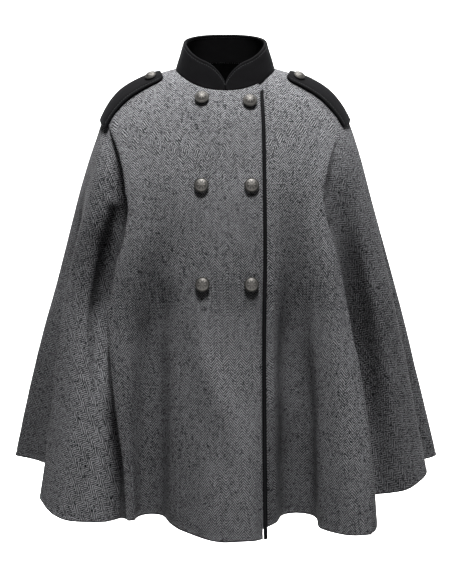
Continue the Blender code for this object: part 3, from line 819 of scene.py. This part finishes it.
def cloth_relief(node, edges, creases, places):
    """How far a panel's face stands out: its creases and waves, less its seams' and hem's grooves."""
    tall = places * (1.0, WAVE_STRETCH)
    seed = len(node)
    out = creases + WAVE_DEPTH * wander(tall, WAVE_LENGTH, seed)
    out += RIPPLE_DEPTH * wander(tall, RIPPLE_LENGTH, seed + 7)
    out *= ease(np.minimum.reduce([edges["first"], edges["last"], edges["top"]]) / HELD_EDGE)
    out -= groove(edges["hem"] - HEM_STITCH, HEM_GROOVE)
    out += groove(edges["hem"] - HEM_STITCH / 2, HEM_SWELL)
    for seam in PANELS[node].seams:
        out -= groove(edges[seam], SEAM_GROOVE)
    return out


def hem_turning(edges):
    """How much thicker a panel is where its hem is turned up inside."""
    turning = HEM_TURNING_THICKNESS * ease((HEM_TURNING - edges["hem"]) / (1.5 * MM))
    turning *= ease(edges["hem"] / (2 * MM))
    return turning * ease(np.minimum(edges["first"], edges["last"]) / HEM_TURNING_END)


def cut_area(places):
    """The area of a cut piece, from the flat places of its grid."""
    corners = [places[:-1, :-1], places[1:, :-1], places[1:, 1:], places[:-1, 1:]]
    area = 0.0
    for a, b in zip(corners, corners[1:] + corners[:1]):
        area += (a[..., 0] * b[..., 1] - a[..., 1] * b[..., 0]).sum() / 2
    return abs(area)


def make_panel(node):
    """One panel of the cape, creased, with its edges rounded and its hem turned up.

    Also gives what its hem's stitches are laid on: its surface, the way out and the edges' distances.
    """
    panel = PANELS[node]
    gaps = {edge: gap * MM for edge, gap in panel.gaps.items()}
    grid, shares, levels = cloth_grid(panel.row, panel.top_level, panel.rows, panel.columns, gaps)
    pattern_levels = np.linspace(panel.top_level, 1, 25)
    even = np.linspace(0, 1, 36)
    coarse = np.array([panel.row(even, level) for level in pattern_levels])
    pattern = flat_pattern(coarse, panel.grain_line)
    level_grid = np.repeat(levels[:, None], grid.shape[1], axis=1)
    places = read_pattern(pattern, pattern_levels, shares, level_grid)
    along = travelled(grid, axis=1)
    down = travelled(grid, axis=0)
    edges = {
        "first": along,
        "last": along[:, -1:] - along,
        "top": down,
        "hem": down[-1:] - down,
    }
    creases = crease_depth(node, pattern, pattern_levels, places)
    normals = outward_normals(grid)
    surface = grid + normals * cloth_relief(node, edges, creases, places)[..., None]
    # The weave lies on the creased cloth, so its lengths across are the creased ones
    let_in = travelled(surface, axis=1) - along
    middle = round(panel.grain_line * (panel.columns - 1))
    places = places + np.stack([let_in - let_in[:, middle:middle + 1], np.zeros_like(let_in)], -1)
    distance = np.minimum.reduce(list(edges.values()))
    round_in = rounding(distance, CLOTH_THICKNESS)
    outer = surface - normals * round_in[..., None]
    inner = surface - normals * (CLOTH_THICKNESS + hem_turning(edges) - round_in)[..., None]
    turn = math.radians(panel.grain_turn)
    grain = np.array([[math.cos(turn), math.sin(turn)], [-math.sin(turn), math.cos(turn)]])
    cloth = np.concatenate([places @ grain, distance[..., None]], -1)
    piece = shell(panel.piece, outer, inner, cloth)
    stand_for(piece, node)
    cut_area(places)
    return piece, surface, normals, edges


def stitches(name, line, normals, lift=0.1 * MM):
    """A run of thread stitches along a line of points that lies on the cloth."""
    at = travelled(line)

    def read(values, places):
        return np.stack([np.interp(places, at, values[:, axis]) for axis in range(3)], -1)

    starts = np.arange(0.5 * STITCH_STEP, at[-1] - STITCH_STEP, STITCH_STEP)
    rings = []
    for share, lifted, size in STITCH_RINGS:
        places = starts + share * STITCH_LENGTH
        centre = read(line, places) + read(normals, places) * (lift + lifted * STITCH_RADIUS)
        way = read(line, places + 0.2 * MM) - read(line, places - 0.2 * MM)
        way /= np.linalg.norm(way, axis=1, keepdims=True)
        up = read(normals, places)
        across = np.cross(way, up)
        across /= np.linalg.norm(across, axis=1, keepdims=True)
        for turn in np.arange(STITCH_SIDES) * 2 * math.pi / STITCH_SIDES:
            around = across * math.cos(turn) + up * math.sin(turn)
            rings.append(centre + around * STITCH_RADIUS * size)
    vertices = np.array(rings).transpose(1, 0, 2)
    faces = []
    for base in range(0, len(starts) * len(rings), len(rings)):
        index = base + np.arange(len(rings)).reshape(-1, STITCH_SIDES)
        after = np.roll(index, -1, axis=1)
        faces += np.stack([index[:-1], after[:-1], after[1:], index[1:]], -1).reshape(-1, 4).tolist()
        faces += [index[0].tolist(), index[-1].tolist()]
    mesh = bpy.data.meshes.new(name)
    mesh.from_pydata(vertices.reshape(-1, 3).tolist(), [], faces)
    piece = link_mesh(name, mesh)
    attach(piece, "root")
    return piece


def line_inside(surface, normals, distance, gap, axis):
    """The line on a surface that lies a gap in from an edge, across the rows or the columns."""
    if axis == 0:
        surface, normals, distance = (np.swapaxes(grid, 0, 1) for grid in (surface, normals, distance))
    line, up = [], []
    for points, outward, away in zip(surface, normals, distance):
        order = np.argsort(away)
        line.append([np.interp(gap, away[order], values) for values in points[order].T])
        up.append([np.interp(gap, away[order], values) for values in outward[order].T])
    return np.array(line), np.array(up)


def collar_ring(angles, sizes, squareness, rise):
    """A ring of the collar. rise bends how its height goes from the side to the back."""
    half_width, front, back, side_z, front_z, back_z = sizes
    sine, cosine = np.sin(np.radians(angles)), np.cos(np.radians(angles))
    x = half_width * bulge(sine, 2 / squareness)
    depth = np.abs(cosine) ** (2 / squareness)
    y = np.where(cosine > 0, -front * depth, back * depth)
    front_rise = (front_z - side_z) * depth ** 2
    back_rise = (back_z - side_z) * depth ** rise
    return np.stack([x, y, side_z + np.where(cosine > 0, front_rise, back_rise)], -1)


def collar_points(share, heights):
    """Rows up the collar at these shares of its length, from the right front corner to the left."""
    angles = -360 * (share - 0.055 * np.sin(2 * np.pi * share))
    sizes = np.array([section(name, 0) for name in SECTION_COLUMNS[1:7]])
    sizes[:3] *= COLLAR_SEAT
    base = collar_ring(angles, sizes, section("squareness", 0), 2) - (0, 0, COLLAR_SUNK)
    beside_lap = bell(base[:, 0] - COLLAR_DIP_X, COLLAR_DIP_WIDTH) * (base[:, 1] < 0)
    base[:, 2] -= COLLAR_DIP * beside_lap
    top = collar_ring(angles, COLLAR_TOP, COLLAR_TOP_SQUARENESS, 1)
    turned = np.radians(np.minimum(-angles, 360 + angles))
    near = np.clip(1 - turned * COLLAR_TOP[0] / COLLAR_CORNER_LENGTH, 0, 1)
    corner = (1 - np.sqrt(1 - 0.98 * near ** 2)) / (1 - math.sqrt(0.02))
    height = 1 - COLLAR_CORNER_DROP * corner
    grid = np.array([base + (top - base) * (up * height)[:, None] for up in heights])
    grid[:, 0, 0] -= COLLAR_FRONT_GAP / 2
    grid[:, -1, 0] += COLLAR_FRONT_GAP / 2
    return grid + (section("centre", 0), 0, 0)


def crowded(count, near, places):
    """Shares from 0 to 1 that crowd at the ends: even ones, moved so that near becomes places."""
    return np.interp(np.linspace(0, 1, count), (0, *near, 1), (0, *places, 1))


def make_collar():
    """The thick stand collar, stitched inside its edges."""
    share = crowded(260, (0.004, 0.012, 0.988, 0.996), (0.0008, 0.004, 0.996, 0.9992))
    heights = crowded(34, (0.06, 0.12, 0.88, 0.94), (0.008, 0.04, 0.94, 0.985))
    grid = collar_points(share, heights)
    normals = outward_normals(grid)
    along = travelled(grid, axis=1)
    up = travelled(grid, axis=0)
    top_edge = up[-1:] - up
    ends = np.minimum(along, along[:, -1:] - along)
    free = np.minimum(top_edge, ends)
    distance = np.minimum(free, up)
    places = np.stack([along, up], -1)
    out = 0.5 * MM * wander(places, 30 * MM, 3.3) * ease(distance / (8 * MM))
    out -= 0.6 * MM * bell(free - COLLAR_STITCH, 1.0 * MM) * ease(up / (3 * MM))
    out -= 0.5 * MM * bell(up, 1.8 * MM)
    surface = grid + normals * out[..., None]
    round_in = rounding(free, COLLAR_THICKNESS)
    outer = surface - normals * round_in[..., None]
    roll = 0.6 * MM * bell(top_edge - 2.2 * MM, 1.6 * MM)
    trough = 0.5 * MM * bell(top_edge - COLLAR_INNER_STITCH, 0.9 * MM)
    inner = grid - normals * (COLLAR_THICKNESS + roll - trough - round_in)[..., None]
    piece = shell("collar_band", outer, inner, np.concatenate([places, distance[..., None]], -1))
    stand_for(piece, "collar")
    outside = line_inside(surface, normals, top_edge, COLLAR_STITCH, 0)
    inside = line_inside(inner, -normals, top_edge, COLLAR_INNER_STITCH, 0)
    return piece, [stitches("collar_stitches", *outside), stitches("collar_inner_stitches", *inside)]


def make_facing():
    """The facing inside the back's neckline."""
    levels = np.linspace(*FACING_LEVELS, 24)
    angles = np.linspace(FACING_END, 360 - FACING_END, 120)
    grid = np.array([back_points(angles, level) for level in levels])
    normals = outward_normals(grid)
    along = travelled(grid, axis=1)
    down = travelled(grid, axis=0)
    distance = np.minimum(np.minimum(along, along[:, -1:] - along), np.minimum(down, down[-1:] - down))
    surface = grid - normals * (CLOTH_THICKNESS + FACING_GAP)
    round_in = rounding(distance, FACING_THICKNESS)[..., None]
    places = np.stack([along, down], -1)
    cloth = np.concatenate([places, distance[..., None]], -1)
    inner = surface - normals * (FACING_THICKNESS - round_in)
    piece = shell("neck_facing_cloth", surface - normals * round_in, inner, cloth)
    stand_for(piece, "neck_facing")
    return piece


def make_binding():
    """The rounded black binding that closes the right front's edge."""
    levels = np.concatenate([np.linspace(BINDING_TOP_LEVEL, 0.12, 40)[:-1], np.linspace(0.12, 1, 260)])
    turns = np.radians(np.linspace(0, 360, 24, endpoint=False))
    half_wide = BINDING_WIDTH / 2 - 0.15 * MM
    half_thick = CLOTH_THICKNESS / 2 + BINDING_PROUD
    across = half_wide * bulge(np.cos(turns), 0.55)
    out = half_thick * bulge(np.sin(turns), 0.7)
    rings = []
    for level in levels:
        _, bound, _, _ = underlap_at(level)
        angle = angle_of_x(np.array([bound - BINDING_WIDTH, bound - BINDING_WIDTH / 2, bound]), level)
        line = front_points(right_front_push, angle, level)
        normal = front_normals(right_front_push, angle, level)[1]
        way = line[2] - line[0]
        way /= np.linalg.norm(way)
        centre = line[1] - normal * CLOTH_THICKNESS / 2
        rings.append(centre + way * across[:, None] + normal * out[:, None])
    rings = np.array(rings)
    down = rings[-1].mean(axis=0) - rings[-2].mean(axis=0)
    down /= np.linalg.norm(down)
    ends = []
    for reach, size in ((0.3 * MM, 0.86), (0.6 * MM, 0.6)):
        middle = rings[-1].mean(axis=0)
        ends.append(middle + (rings[-1] - middle) * size + down * reach)
    starts = []
    for reach, size in ((0.6 * MM, 0.6), (0.3 * MM, 0.86)):
        middle = rings[0].mean(axis=0)
        starts.append(middle + (rings[0] - middle) * size - (rings[1] - rings[0]).mean(axis=0) * 0.2)
    rings = np.concatenate([starts, rings, ends])
    count, sides = rings.shape[:2]
    index = np.arange(count * sides).reshape(count, sides)
    after = np.roll(index, -1, axis=1)
    faces = np.stack([index[:-1], after[:-1], after[1:], index[1:]], -1).reshape(-1, 4).tolist()
    faces += [index[0].tolist(), index[-1].tolist()]
    mesh = bpy.data.meshes.new("edge_binding")
    mesh.from_pydata(rings.reshape(-1, 3).tolist(), [], faces)
    along = travelled(rings.mean(axis=1))
    cloth = np.zeros((count, sides, 3))
    cloth[..., 0] = along[:, None]
    cloth[..., 1] = np.arange(sides) * 0.7 * MM
    cloth[..., 2] = 5 * MM
    mark_cloth(mesh, cloth)
    piece = link_mesh("edge_binding", mesh)
    stand_for(piece, "front_binding")
    return piece


def shoulder_line(side, level):
    """Outer points over one shoulder at a level, from front to back."""
    name, push, _ = SIDE_PARTS[side]
    front_seam, back_seam = seam_angle(name, level), seam_angle("back", level)
    front_angles = np.linspace(front_seam - 45, front_seam, 60)
    parts = [front_points(push, side * front_angles, level)]
    if level > SIDE_TOP_LEVEL:
        parts.append(side_points(side, np.linspace(front_seam, back_seam, 24), level)[1:])
    turned = np.linspace(back_seam, back_seam + 25, 36)
    angles = turned if side < 0 else 360 - turned
    parts.append(back_points(angles, level)[1:])
    return np.concatenate(parts)


def strap_grid(side, outs, across):
    """The cloth's points under a shoulder strap: rows from the neck out, each from front to back."""
    lines = [shoulder_line(side, level) for level in np.linspace(*STRAP_LEVELS, len(outs))]
    forward = np.linspace(*STRAP_FORWARD, len(outs))
    ridge, places = [], []
    for line, ahead in zip(lines, forward):
        along = travelled(line)
        middle = np.interp(-ahead, line[:, 1], along)
        places.append(along - middle)
        ridge.append([np.interp(middle, along, line[:, axis]) for axis in range(3)])
    distance = travelled(np.array(ridge))
    rows = []
    for line, along, out in zip(lines, places, distance):
        rounded = np.clip(1 - out / STRAP_END_LENGTH, 0, 1)
        half = STRAP_WIDTH / 2 * (0.30 + 0.70 * math.sqrt(1 - rounded ** 2))
        rows.append(np.stack([np.interp(half * across, along, line[:, axis]) for axis in range(3)], -1))
    grid = np.array(rows)
    every = np.linspace(0, 1, len(outs))
    for c, place in enumerate(across):
        kept = outs * (1 - STRAP_END_SLANT * max(-place, 0))
        grid[:, c] = np.stack([np.interp(kept, every, grid[:, c, axis]) for axis in range(3)], -1)
    return grid


def strap_normals(grid):
    """The direction out of the cloth under a strap."""
    normal = np.cross(np.gradient(grid, axis=0), np.gradient(grid, axis=1))
    normal /= np.linalg.norm(normal, axis=2, keepdims=True)
    return normal * np.sign(normal[..., 2].sum())


def make_strap(side, node, name):
    """One thick shoulder strap with soft edges and a line of stitches inside them."""
    outs = crowded(90, (0.06, 0.94), (0.02, 0.98))
    across = np.interp(np.linspace(-1, 1, 41), (-1, -0.8, 0.8, 1), (-1, -0.90, 0.90, 1))
    grid = strap_grid(side, outs, across)
    normals = strap_normals(grid)
    along = travelled(grid, axis=1)
    out = travelled(grid, axis=0)
    sides = np.minimum(along, along[:, -1:] - along)
    ends = np.minimum(out, out[-1:] - out)
    distance = np.minimum(sides, ends)
    stitch_gap = np.minimum(sides, out[-1:] - out + STRAP_STITCH)
    crown = 1 - 0.18 * (1 - ease(distance / (12 * MM)))
    height = STRAP_THICKNESS * crown - 1.6 * rounding(distance, STRAP_THICKNESS * 0.9)
    height -= 0.7 * MM * bell(stitch_gap - STRAP_STITCH, 1.1 * MM)
    height = np.maximum(height, 0.35 * MM)
    outer = grid + normals * (STRAP_LIFT + height)[..., None]
    places = np.stack([along, out], -1)
    cloth = np.concatenate([places, distance[..., None]], -1)
    piece = shell(name, outer, grid + normals * STRAP_LIFT, cloth)
    stand_for(piece, node)
    thread = []
    for end, edge in (("front", along), ("rear", along[:, -1:] - along)):
        line, up = line_inside(outer, normals, edge, STRAP_STITCH, 1)
        thread.append(stitches(name + "_stitches_" + end, line[8:-3], up[8:-3]))
    return piece, thread


def front_spot(x, z):
    """The outer point of the right front at this x and height, and the way out of the cloth."""
    high, low = 0.0, 1.0
    for _ in range(40):
        level = (high + low) / 2
        angle = np.array([angle_of_x(x, level)])
        if front_points(right_front_push, angle, level)[0, 2] > z:
            high = level
        else:
            low = level
    normal = front_normals(right_front_push, angle, level)[0]
    return front_points(right_front_push, angle, level)[0], normal


def strap_spot(side):
    """The middle of a strap's top where its button sits, and the direction out of the cloth."""
    grid = strap_grid(side, np.linspace(0, 1, STRAP_ROWS), np.array((-1, -0.85, -0.3, 0.3, 0.85, 1.0)))
    _, _, front, back, _, _ = grid[STRAP_BUTTON_ROW]
    normal = strap_normals(grid)[STRAP_BUTTON_ROW, 3]
    point = front * STRAP_BUTTON_FORWARD + back * (1 - STRAP_BUTTON_FORWARD)
    point += normal * (STRAP_LIFT + STRAP_THICKNESS)
    leaning = normal - (0, STRAP_BUTTON_LEAN, 0)
    return point, leaning / np.linalg.norm(leaning)


def button_relief(reach, turn):
    """A plain rope rim and an eight-leaved rosette, as a height from -1 to 1."""
    rope = np.cos(turn * 28 + reach * 60) * bell(reach - 0.93, 0.045)
    ring = bell(reach - 0.74, 0.035) * 0.8
    leaf = np.cos(turn * 4) ** 2
    petals = (leaf * 1.5 - 0.6) * bell(reach - 0.40, 0.17)
    heart = bell(reach, 0.13) * 0.9
    return rope * 0.7 + ring + petals + heart


def make_button(node, point, normal, radius):
    """A domed button with a low relief, on a short shank, with painted shade on its rim."""
    side = np.cross((0.0, 0.0, 1.0), normal)
    side /= np.linalg.norm(side)
    up = np.cross(normal, side)
    outline = np.array(BUTTON_OUTLINE)
    at = travelled(outline)
    fine = np.linspace(0, at[-1], BUTTON_RINGS)[1:-1, None]
    reach = np.interp(fine, at, outline[:, 0])
    height = np.interp(fine, at, outline[:, 1])
    turns = np.linspace(0, 2 * math.pi, BUTTON_SIDES, endpoint=False)
    face = (height > 0.3) & (reach < 0.99)
    relief = button_relief(reach, turns) * face
    height = height + BUTTON_RELIEF * relief
    around = side * np.cos(turns)[:, None] + up * np.sin(turns)[:, None]
    rings = point + normal * (SEAM_GAP + height * radius)[..., None] + around * (reach * radius)[..., None]
    index = np.arange(relief.size).reshape(relief.shape)
    after = np.roll(index, -1, axis=1)
    faces = np.stack([index[:-1], after[:-1], after[1:], index[1:]], -1).reshape(-1, 4).tolist()
    points = rings.reshape(-1, 3).tolist()
    for ring, middle in ((0, 0.0), (-1, BUTTON_TOP)):
        faces += [(first, second, len(points)) for first, second in zip(index[ring], after[ring])]
        points.append(tuple(point + normal * (SEAM_GAP + middle * radius)))
    mesh = bpy.data.meshes.new(node)
    mesh.from_pydata(points, [], faces)
    # Painted shade: the rim's band is marked darker, so the finish draws a dark ring at the button's edge
    painted_rim_shade = 1.1 * ease((reach - 0.78) / 0.18)
    shade = np.concatenate([(relief - painted_rim_shade).ravel(), (0.0, 1.0)])
    # The relief attribute holds the relief's height less the rim's painted shade
    mesh.attributes.new("relief", "FLOAT", "POINT")
    mesh.attributes["relief"].data.foreach_set("value", shade.astype(np.float32))
    piece = link_mesh(node + "_domed", mesh)
    stand_for(piece, node)
    return piece


class Wire:
    """A shader socket that takes part in plain arithmetic."""

    def __init__(self, finish, socket):
        self.finish = finish
        self.socket = socket

    def math(self, operation, *inputs):
        return self.finish.node("ShaderNodeMath", {"operation": operation}, dict(enumerate(inputs)))

    def __add__(self, other):
        return self.math("ADD", self, other)

    def __radd__(self, other):
        return self.math("ADD", other, self)

    def __sub__(self, other):
        return self.math("SUBTRACT", self, other)

    def __rsub__(self, other):
        return self.math("SUBTRACT", other, self)

    def __mul__(self, other):
        return self.math("MULTIPLY", self, other)

    def __rmul__(self, other):
        return self.math("MULTIPLY", other, self)

    def __truediv__(self, other):
        return self.math("DIVIDE", self, other)

    def __mod__(self, other):
        return self.math("FLOORED_MODULO", self, other)

    def __floordiv__(self, other):
        return self.math("FLOOR", self / other)

    def __lt__(self, other):
        return self.math("LESS_THAN", self, other)

    def __gt__(self, other):
        return self.math("GREATER_THAN", self, other)


class Finish:
    """A material, with one way to add any node to it."""

    def __init__(self, name, **constants):
        self.material = bpy.data.materials.new(name)
        self.material.use_nodes = True
        self.tree = self.material.node_tree
        self.shader = self.tree.nodes["Principled BSDF"]
        for socket, value in constants.items():
            self.shader.inputs[socket.replace("_", " ").title().replace("Ior", "IOR")].default_value = value

    def node(self, kind, settings=(), inputs=(), output=0):
        """A node of this type, with its settings made first and then its inputs set or linked."""
        node = self.tree.nodes.new(kind)
        for name, value in dict(settings).items():
            setattr(node, name, value)
        for name, value in dict(inputs).items():
            if isinstance(value, Wire):
                self.tree.links.new(value.socket, node.inputs[name])
            else:
                node.inputs[name].default_value = value
        return Wire(self, node.outputs[output])

    def feed(self, **wires):
        """Links what varies over the surface to the shader's sockets."""
        for name, wire in wires.items():
            self.tree.links.new(wire.socket, self.shader.inputs[name.replace("_", " ").title()])

    def read(self, name, output="Vector"):
        """What the mesh keeps at its points under this name."""
        return self.node("ShaderNodeAttribute", {"attribute_name": name}, output=output)

    def noise(self, vector, scale, detail=2.0, roughness=0.5):
        """Soft noise from 0 to 1, at this many waves to the metre."""
        inputs = {"Vector": vector, "Scale": scale, "Detail": detail, "Roughness": roughness}
        return self.node("ShaderNodeTexNoise", {}, inputs, "Fac")

    def blend(self, share, first, second):
        """A colour between two colours."""
        inputs = {0: share, 6: first, 7: second}
        return self.node("ShaderNodeMix", {"data_type": "RGBA"}, inputs, output=2)

    def bump(self, height, distance, strength):
        """A surface that this height raises, for the shader's normal."""
        inputs = {"Height": height, "Distance": distance, "Strength": strength}
        return self.node("ShaderNodeBump", {}, inputs)

    def split(self, vector):
        """The three parts of a vector."""
        first = self.node("ShaderNodeSeparateXYZ", {}, {0: vector})
        return [Wire(self, socket) for socket in first.socket.node.outputs]

    def join(self, x, y):
        """A flat place from its two parts."""
        return self.node("ShaderNodeCombineXYZ", {}, {0: x, 1: y})


def tweed():
    """Grey wool herringbone: pale warp and charcoal weft in bands of slanted ribs, with a painted highlight
    along the cloth's edges.
    """
    finish = Finish("grey herringbone tweed", roughness=0.95, specular_ior_level=0.08)
    cloth = finish.read("cloth")
    u, v, edge = finish.split(cloth)
    drift = finish.noise(cloth, 95.0, 2.0) - 0.5
    sway = finish.noise(cloth, 330.0, 1.0) - 0.5
    warp = (u + drift * 1.2 * MM) / WARP_PITCH
    weft = (v + drift * 2.4 * MM + sway * 1.3 * MM) / WEFT_PITCH
    end = warp.math("FLOOR", warp)
    pick = weft.math("FLOOR", weft)
    slant = end.math("PINGPONG", end, BAND_YARNS)
    over = (slant + pick) % RIB_PICKS < RIB_WARP
    across = (warp - end - 0.5) * 2.0
    along = (weft - pick - 0.5) * 2.0
    warp_round = 1.0 - across * across
    weft_round = 1.0 - along * along
    round_yarn = warp_round * over + weft_round * (1.0 - over)
    yarn = {"Vector": finish.join(end // 2.0, pick // 3.0)}
    yarn_tone = finish.node("ShaderNodeTexWhiteNoise", {"noise_dimensions": "2D"}, yarn, "Value")
    fibre = finish.noise(cloth, 2600.0, 2.0)
    melange = finish.noise(cloth, 230.0, 1.0, 0.7)
    speckle = finish.noise(cloth, 600.0, 0.0)
    cloud = finish.noise(cloth, 14.0, 2.0)
    slub = finish.noise(finish.join(u * 420.0, v * 110.0), 1.0, 1.0)
    # The round_yarn term paints each yarn paler on its crown and darker at its sides: painted shade between
    # the yarns
    tone = over * 1.35 + 0.7 * (yarn_tone - 0.5) + 0.1 * round_yarn + (fibre - 0.5) * 0.2 - 0.55
    tone = tone + (melange - 0.5) * 2.3 + (speckle - 0.5) * 1.6 + (slub - 0.5) * 0.5 + (cloud - 0.5) * 0.3
    soft = {"interpolation_type": "SMOOTHSTEP"}
    # Painted highlight: the tone is raised within this reach of every edge of the cloth, a pale rim of
    # light
    inside = finish.node("ShaderNodeMapRange", soft, {"Value": edge, 2: PAINTED_EDGE_HIGHLIGHT_WIDTH})
    tone = tone + (1.0 - inside) * 0.10
    finish.feed(base_color=finish.blend(tone, DARK_YARN, LIGHT_YARN))
    fluff = finish.noise(cloth, 900.0, 3.0, 0.6)
    finish.feed(normal=finish.bump(round_yarn * 0.7 + fluff * 0.5, 0.3 * MM, 0.45))
    return finish.material


def felt():
    """Black milled wool, nearly even, with a short nap and stray pale fibres."""
    finish = Finish(
        "black milled wool", roughness=0.9, specular_ior_level=0.05,
        sheen_weight=0.005, sheen_roughness=0.5, sheen_tint=(0.7, 0.72, 0.8, 1),
    )
    cloth = finish.read("cloth")
    nap = finish.noise(cloth, 1500.0, 3.0, 0.65)
    cloud = finish.noise(cloth, 90.0, 2.0)
    drawn = finish.node("ShaderNodeVectorMath", {"operation": "MULTIPLY"}, {0: cloth, 1: (1.0, 0.25, 1.0)})
    fibre = finish.noise(drawn, 3200.0, 1.0)
    share = (nap - 0.45) * 0.8 + (cloud - 0.5) * 0.5 + (fibre > 0.72) * 0.35
    finish.feed(base_color=finish.blend(share, FELT_DARK, FELT_PALE))
    finish.feed(normal=finish.bump(nap + fibre * 0.4, 0.25 * MM, 0.7))
    return finish.material


def thread(name, colour):
    """Matt sewing thread."""
    finish = Finish(name, roughness=0.7, specular_ior_level=0.3)
    place = finish.node("ShaderNodeTexCoord", output="Object")
    twist = finish.noise(place, 2500.0, 1.0)
    finish.feed(base_color=finish.blend(twist, colour, tuple(c * 1.8 for c in colour[:3]) + (1,)))
    return finish.material


def pewter():
    """Aged pewter plate: dark in the hollows of the relief, rubbed pale on its tops, and with painted shade
    on its rim.
    """
    finish = Finish("antique pewter", metallic=0.85, specular_ior_level=0.5)
    height = finish.read("relief", "Fac")
    place = finish.node("ShaderNodeTexCoord", output="Object")
    mottle = finish.noise(place, 900.0, 4.0, 0.65)
    scuff = finish.noise(place, 4200.0, 2.0)
    # Pale where the relief is rubbed, dark in its hollows, and dark at the rim, where the relief attribute
    # carries painted shade
    wear_and_rim_shade = height * 0.45 + 0.25 + (mottle - 0.5) * 0.9
    colour = finish.blend(wear_and_rim_shade, PEWTER_DARK, PEWTER_RUBBED)
    finish.feed(base_color=colour, roughness=0.62 - wear_and_rim_shade * 0.14 + (scuff - 0.5) * 0.15)
    finish.feed(normal=finish.bump(mottle, 0.25 * MM, 0.5))
    return finish.material


def pale_floor():
    """The studio's floor, which shows no shadow line."""
    finish = Finish(
        "pale floor", roughness=0.9, base_color=PALE_FLOOR,
        emission_color=PALE_FLOOR, emission_strength=1.0,
    )
    return finish.material


def paint(pieces, material):
    """Gives pieces one material."""
    for piece in pieces:
        piece.data.materials.clear()
        piece.data.materials.append(material)


def make_camera():
    """The camera, in front and a little above."""
    data = bpy.data.cameras.new("camera")
    data.lens = CAMERA_LENS
    data.sensor_width = 36.0
    camera = bpy.data.objects.new("camera", data)
    bpy.context.scene.collection.objects.link(camera)
    back = Vector((0, -math.cos(CAMERA_ELEVATION), math.sin(CAMERA_ELEVATION)))
    camera.location = CAMERA_TARGET + back * CAMERA_DISTANCE
    camera.rotation_euler = (math.pi / 2 - CAMERA_ELEVATION, 0, 0)
    bpy.context.scene.camera = camera


def make_light(name, place, size, watts):
    """A square soft light that faces the cape."""
    data = bpy.data.lights.new(name, "AREA")
    data.size = size
    data.energy = watts
    light = bpy.data.objects.new(name, data)
    light.location = place
    light.rotation_euler = (Vector(LIT_POINT) - Vector(place)).to_track_quat("-Z", "Y").to_euler()
    bpy.context.scene.collection.objects.link(light)


def make_stage():
    """A pale floor that sweeps up behind, and a soft studio light."""
    sweep = [(-FLOOR_HALF_WIDTH, FLOOR_Z)]
    for turn in np.radians(np.linspace(0, 90, 13)):
        y = SWEEP_START + SWEEP_RADIUS * math.sin(turn)
        sweep.append((y, FLOOR_Z + SWEEP_RADIUS * (1 - math.cos(turn))))
    sweep.append((SWEEP_START + SWEEP_RADIUS, SWEEP_TOP))
    points = [(x, y, z) for y, z in sweep for x in (-FLOOR_HALF_WIDTH, FLOOR_HALF_WIDTH)]
    faces = [(2 * i, 2 * i + 1, 2 * i + 3, 2 * i + 2) for i in range(len(sweep) - 1)]
    mesh = bpy.data.meshes.new("floor")
    mesh.from_pydata(points, [], faces)
    mesh.shade_smooth()
    floor = bpy.data.objects.new("floor", mesh)
    bpy.context.scene.collection.objects.link(floor)
    paint([floor], pale_floor())
    floor.visible_diffuse = False
    world = bpy.data.worlds.new("studio")
    world.use_nodes = True
    world.node_tree.nodes["Background"].inputs["Color"].default_value = (1, 1, 1, 1)
    world.node_tree.nodes["Background"].inputs["Strength"].default_value = 1.0
    bpy.context.scene.world = world
    world.cycles_visibility.diffuse = False
    world.cycles_visibility.glossy = False
    for name, (place, size, watts) in LIGHTS.items():
        make_light(name, place, size, watts)


def main():
    """Builds every piece, its finish, the stage and the camera."""
    make_camera()
    cloth, felt_pieces, dark_thread, black_thread = [], [], [], []
    for node in PANELS:
        piece, surface, normals, edges = make_panel(node)
        cloth.append(piece)
        line, up = line_inside(surface, normals, edges["hem"], HEM_STITCH, 0)
        dark_thread.append(stitches(node + "_hem_stitches", line, up, -HEM_STITCH_SUNK))
    collar, collar_thread = make_collar()
    felt_pieces += [collar, make_facing(), make_binding()]
    black_thread += collar_thread
    for side, node, name in STRAPS:
        strap, strap_thread = make_strap(side, node, name)
        felt_pieces.append(strap)
        black_thread += strap_thread
    buttons = [
        make_button(node, *front_spot(x * MM, z * MM), BUTTON_RADIUS)
        for node, (x, z) in BUTTONS.items()
    ]
    for side, node, _ in STRAPS:
        buttons.append(make_button("button_" + node, *strap_spot(side), STRAP_BUTTON_RADIUS))
    paint(cloth, tweed())
    paint(felt_pieces, felt())
    paint(dark_thread, thread("charcoal thread", CHARCOAL))
    paint(black_thread, thread("black thread", BLACK))
    paint(buttons, pewter())
    make_stage()
    bpy.context.scene.view_settings.view_transform = "Standard"


main()
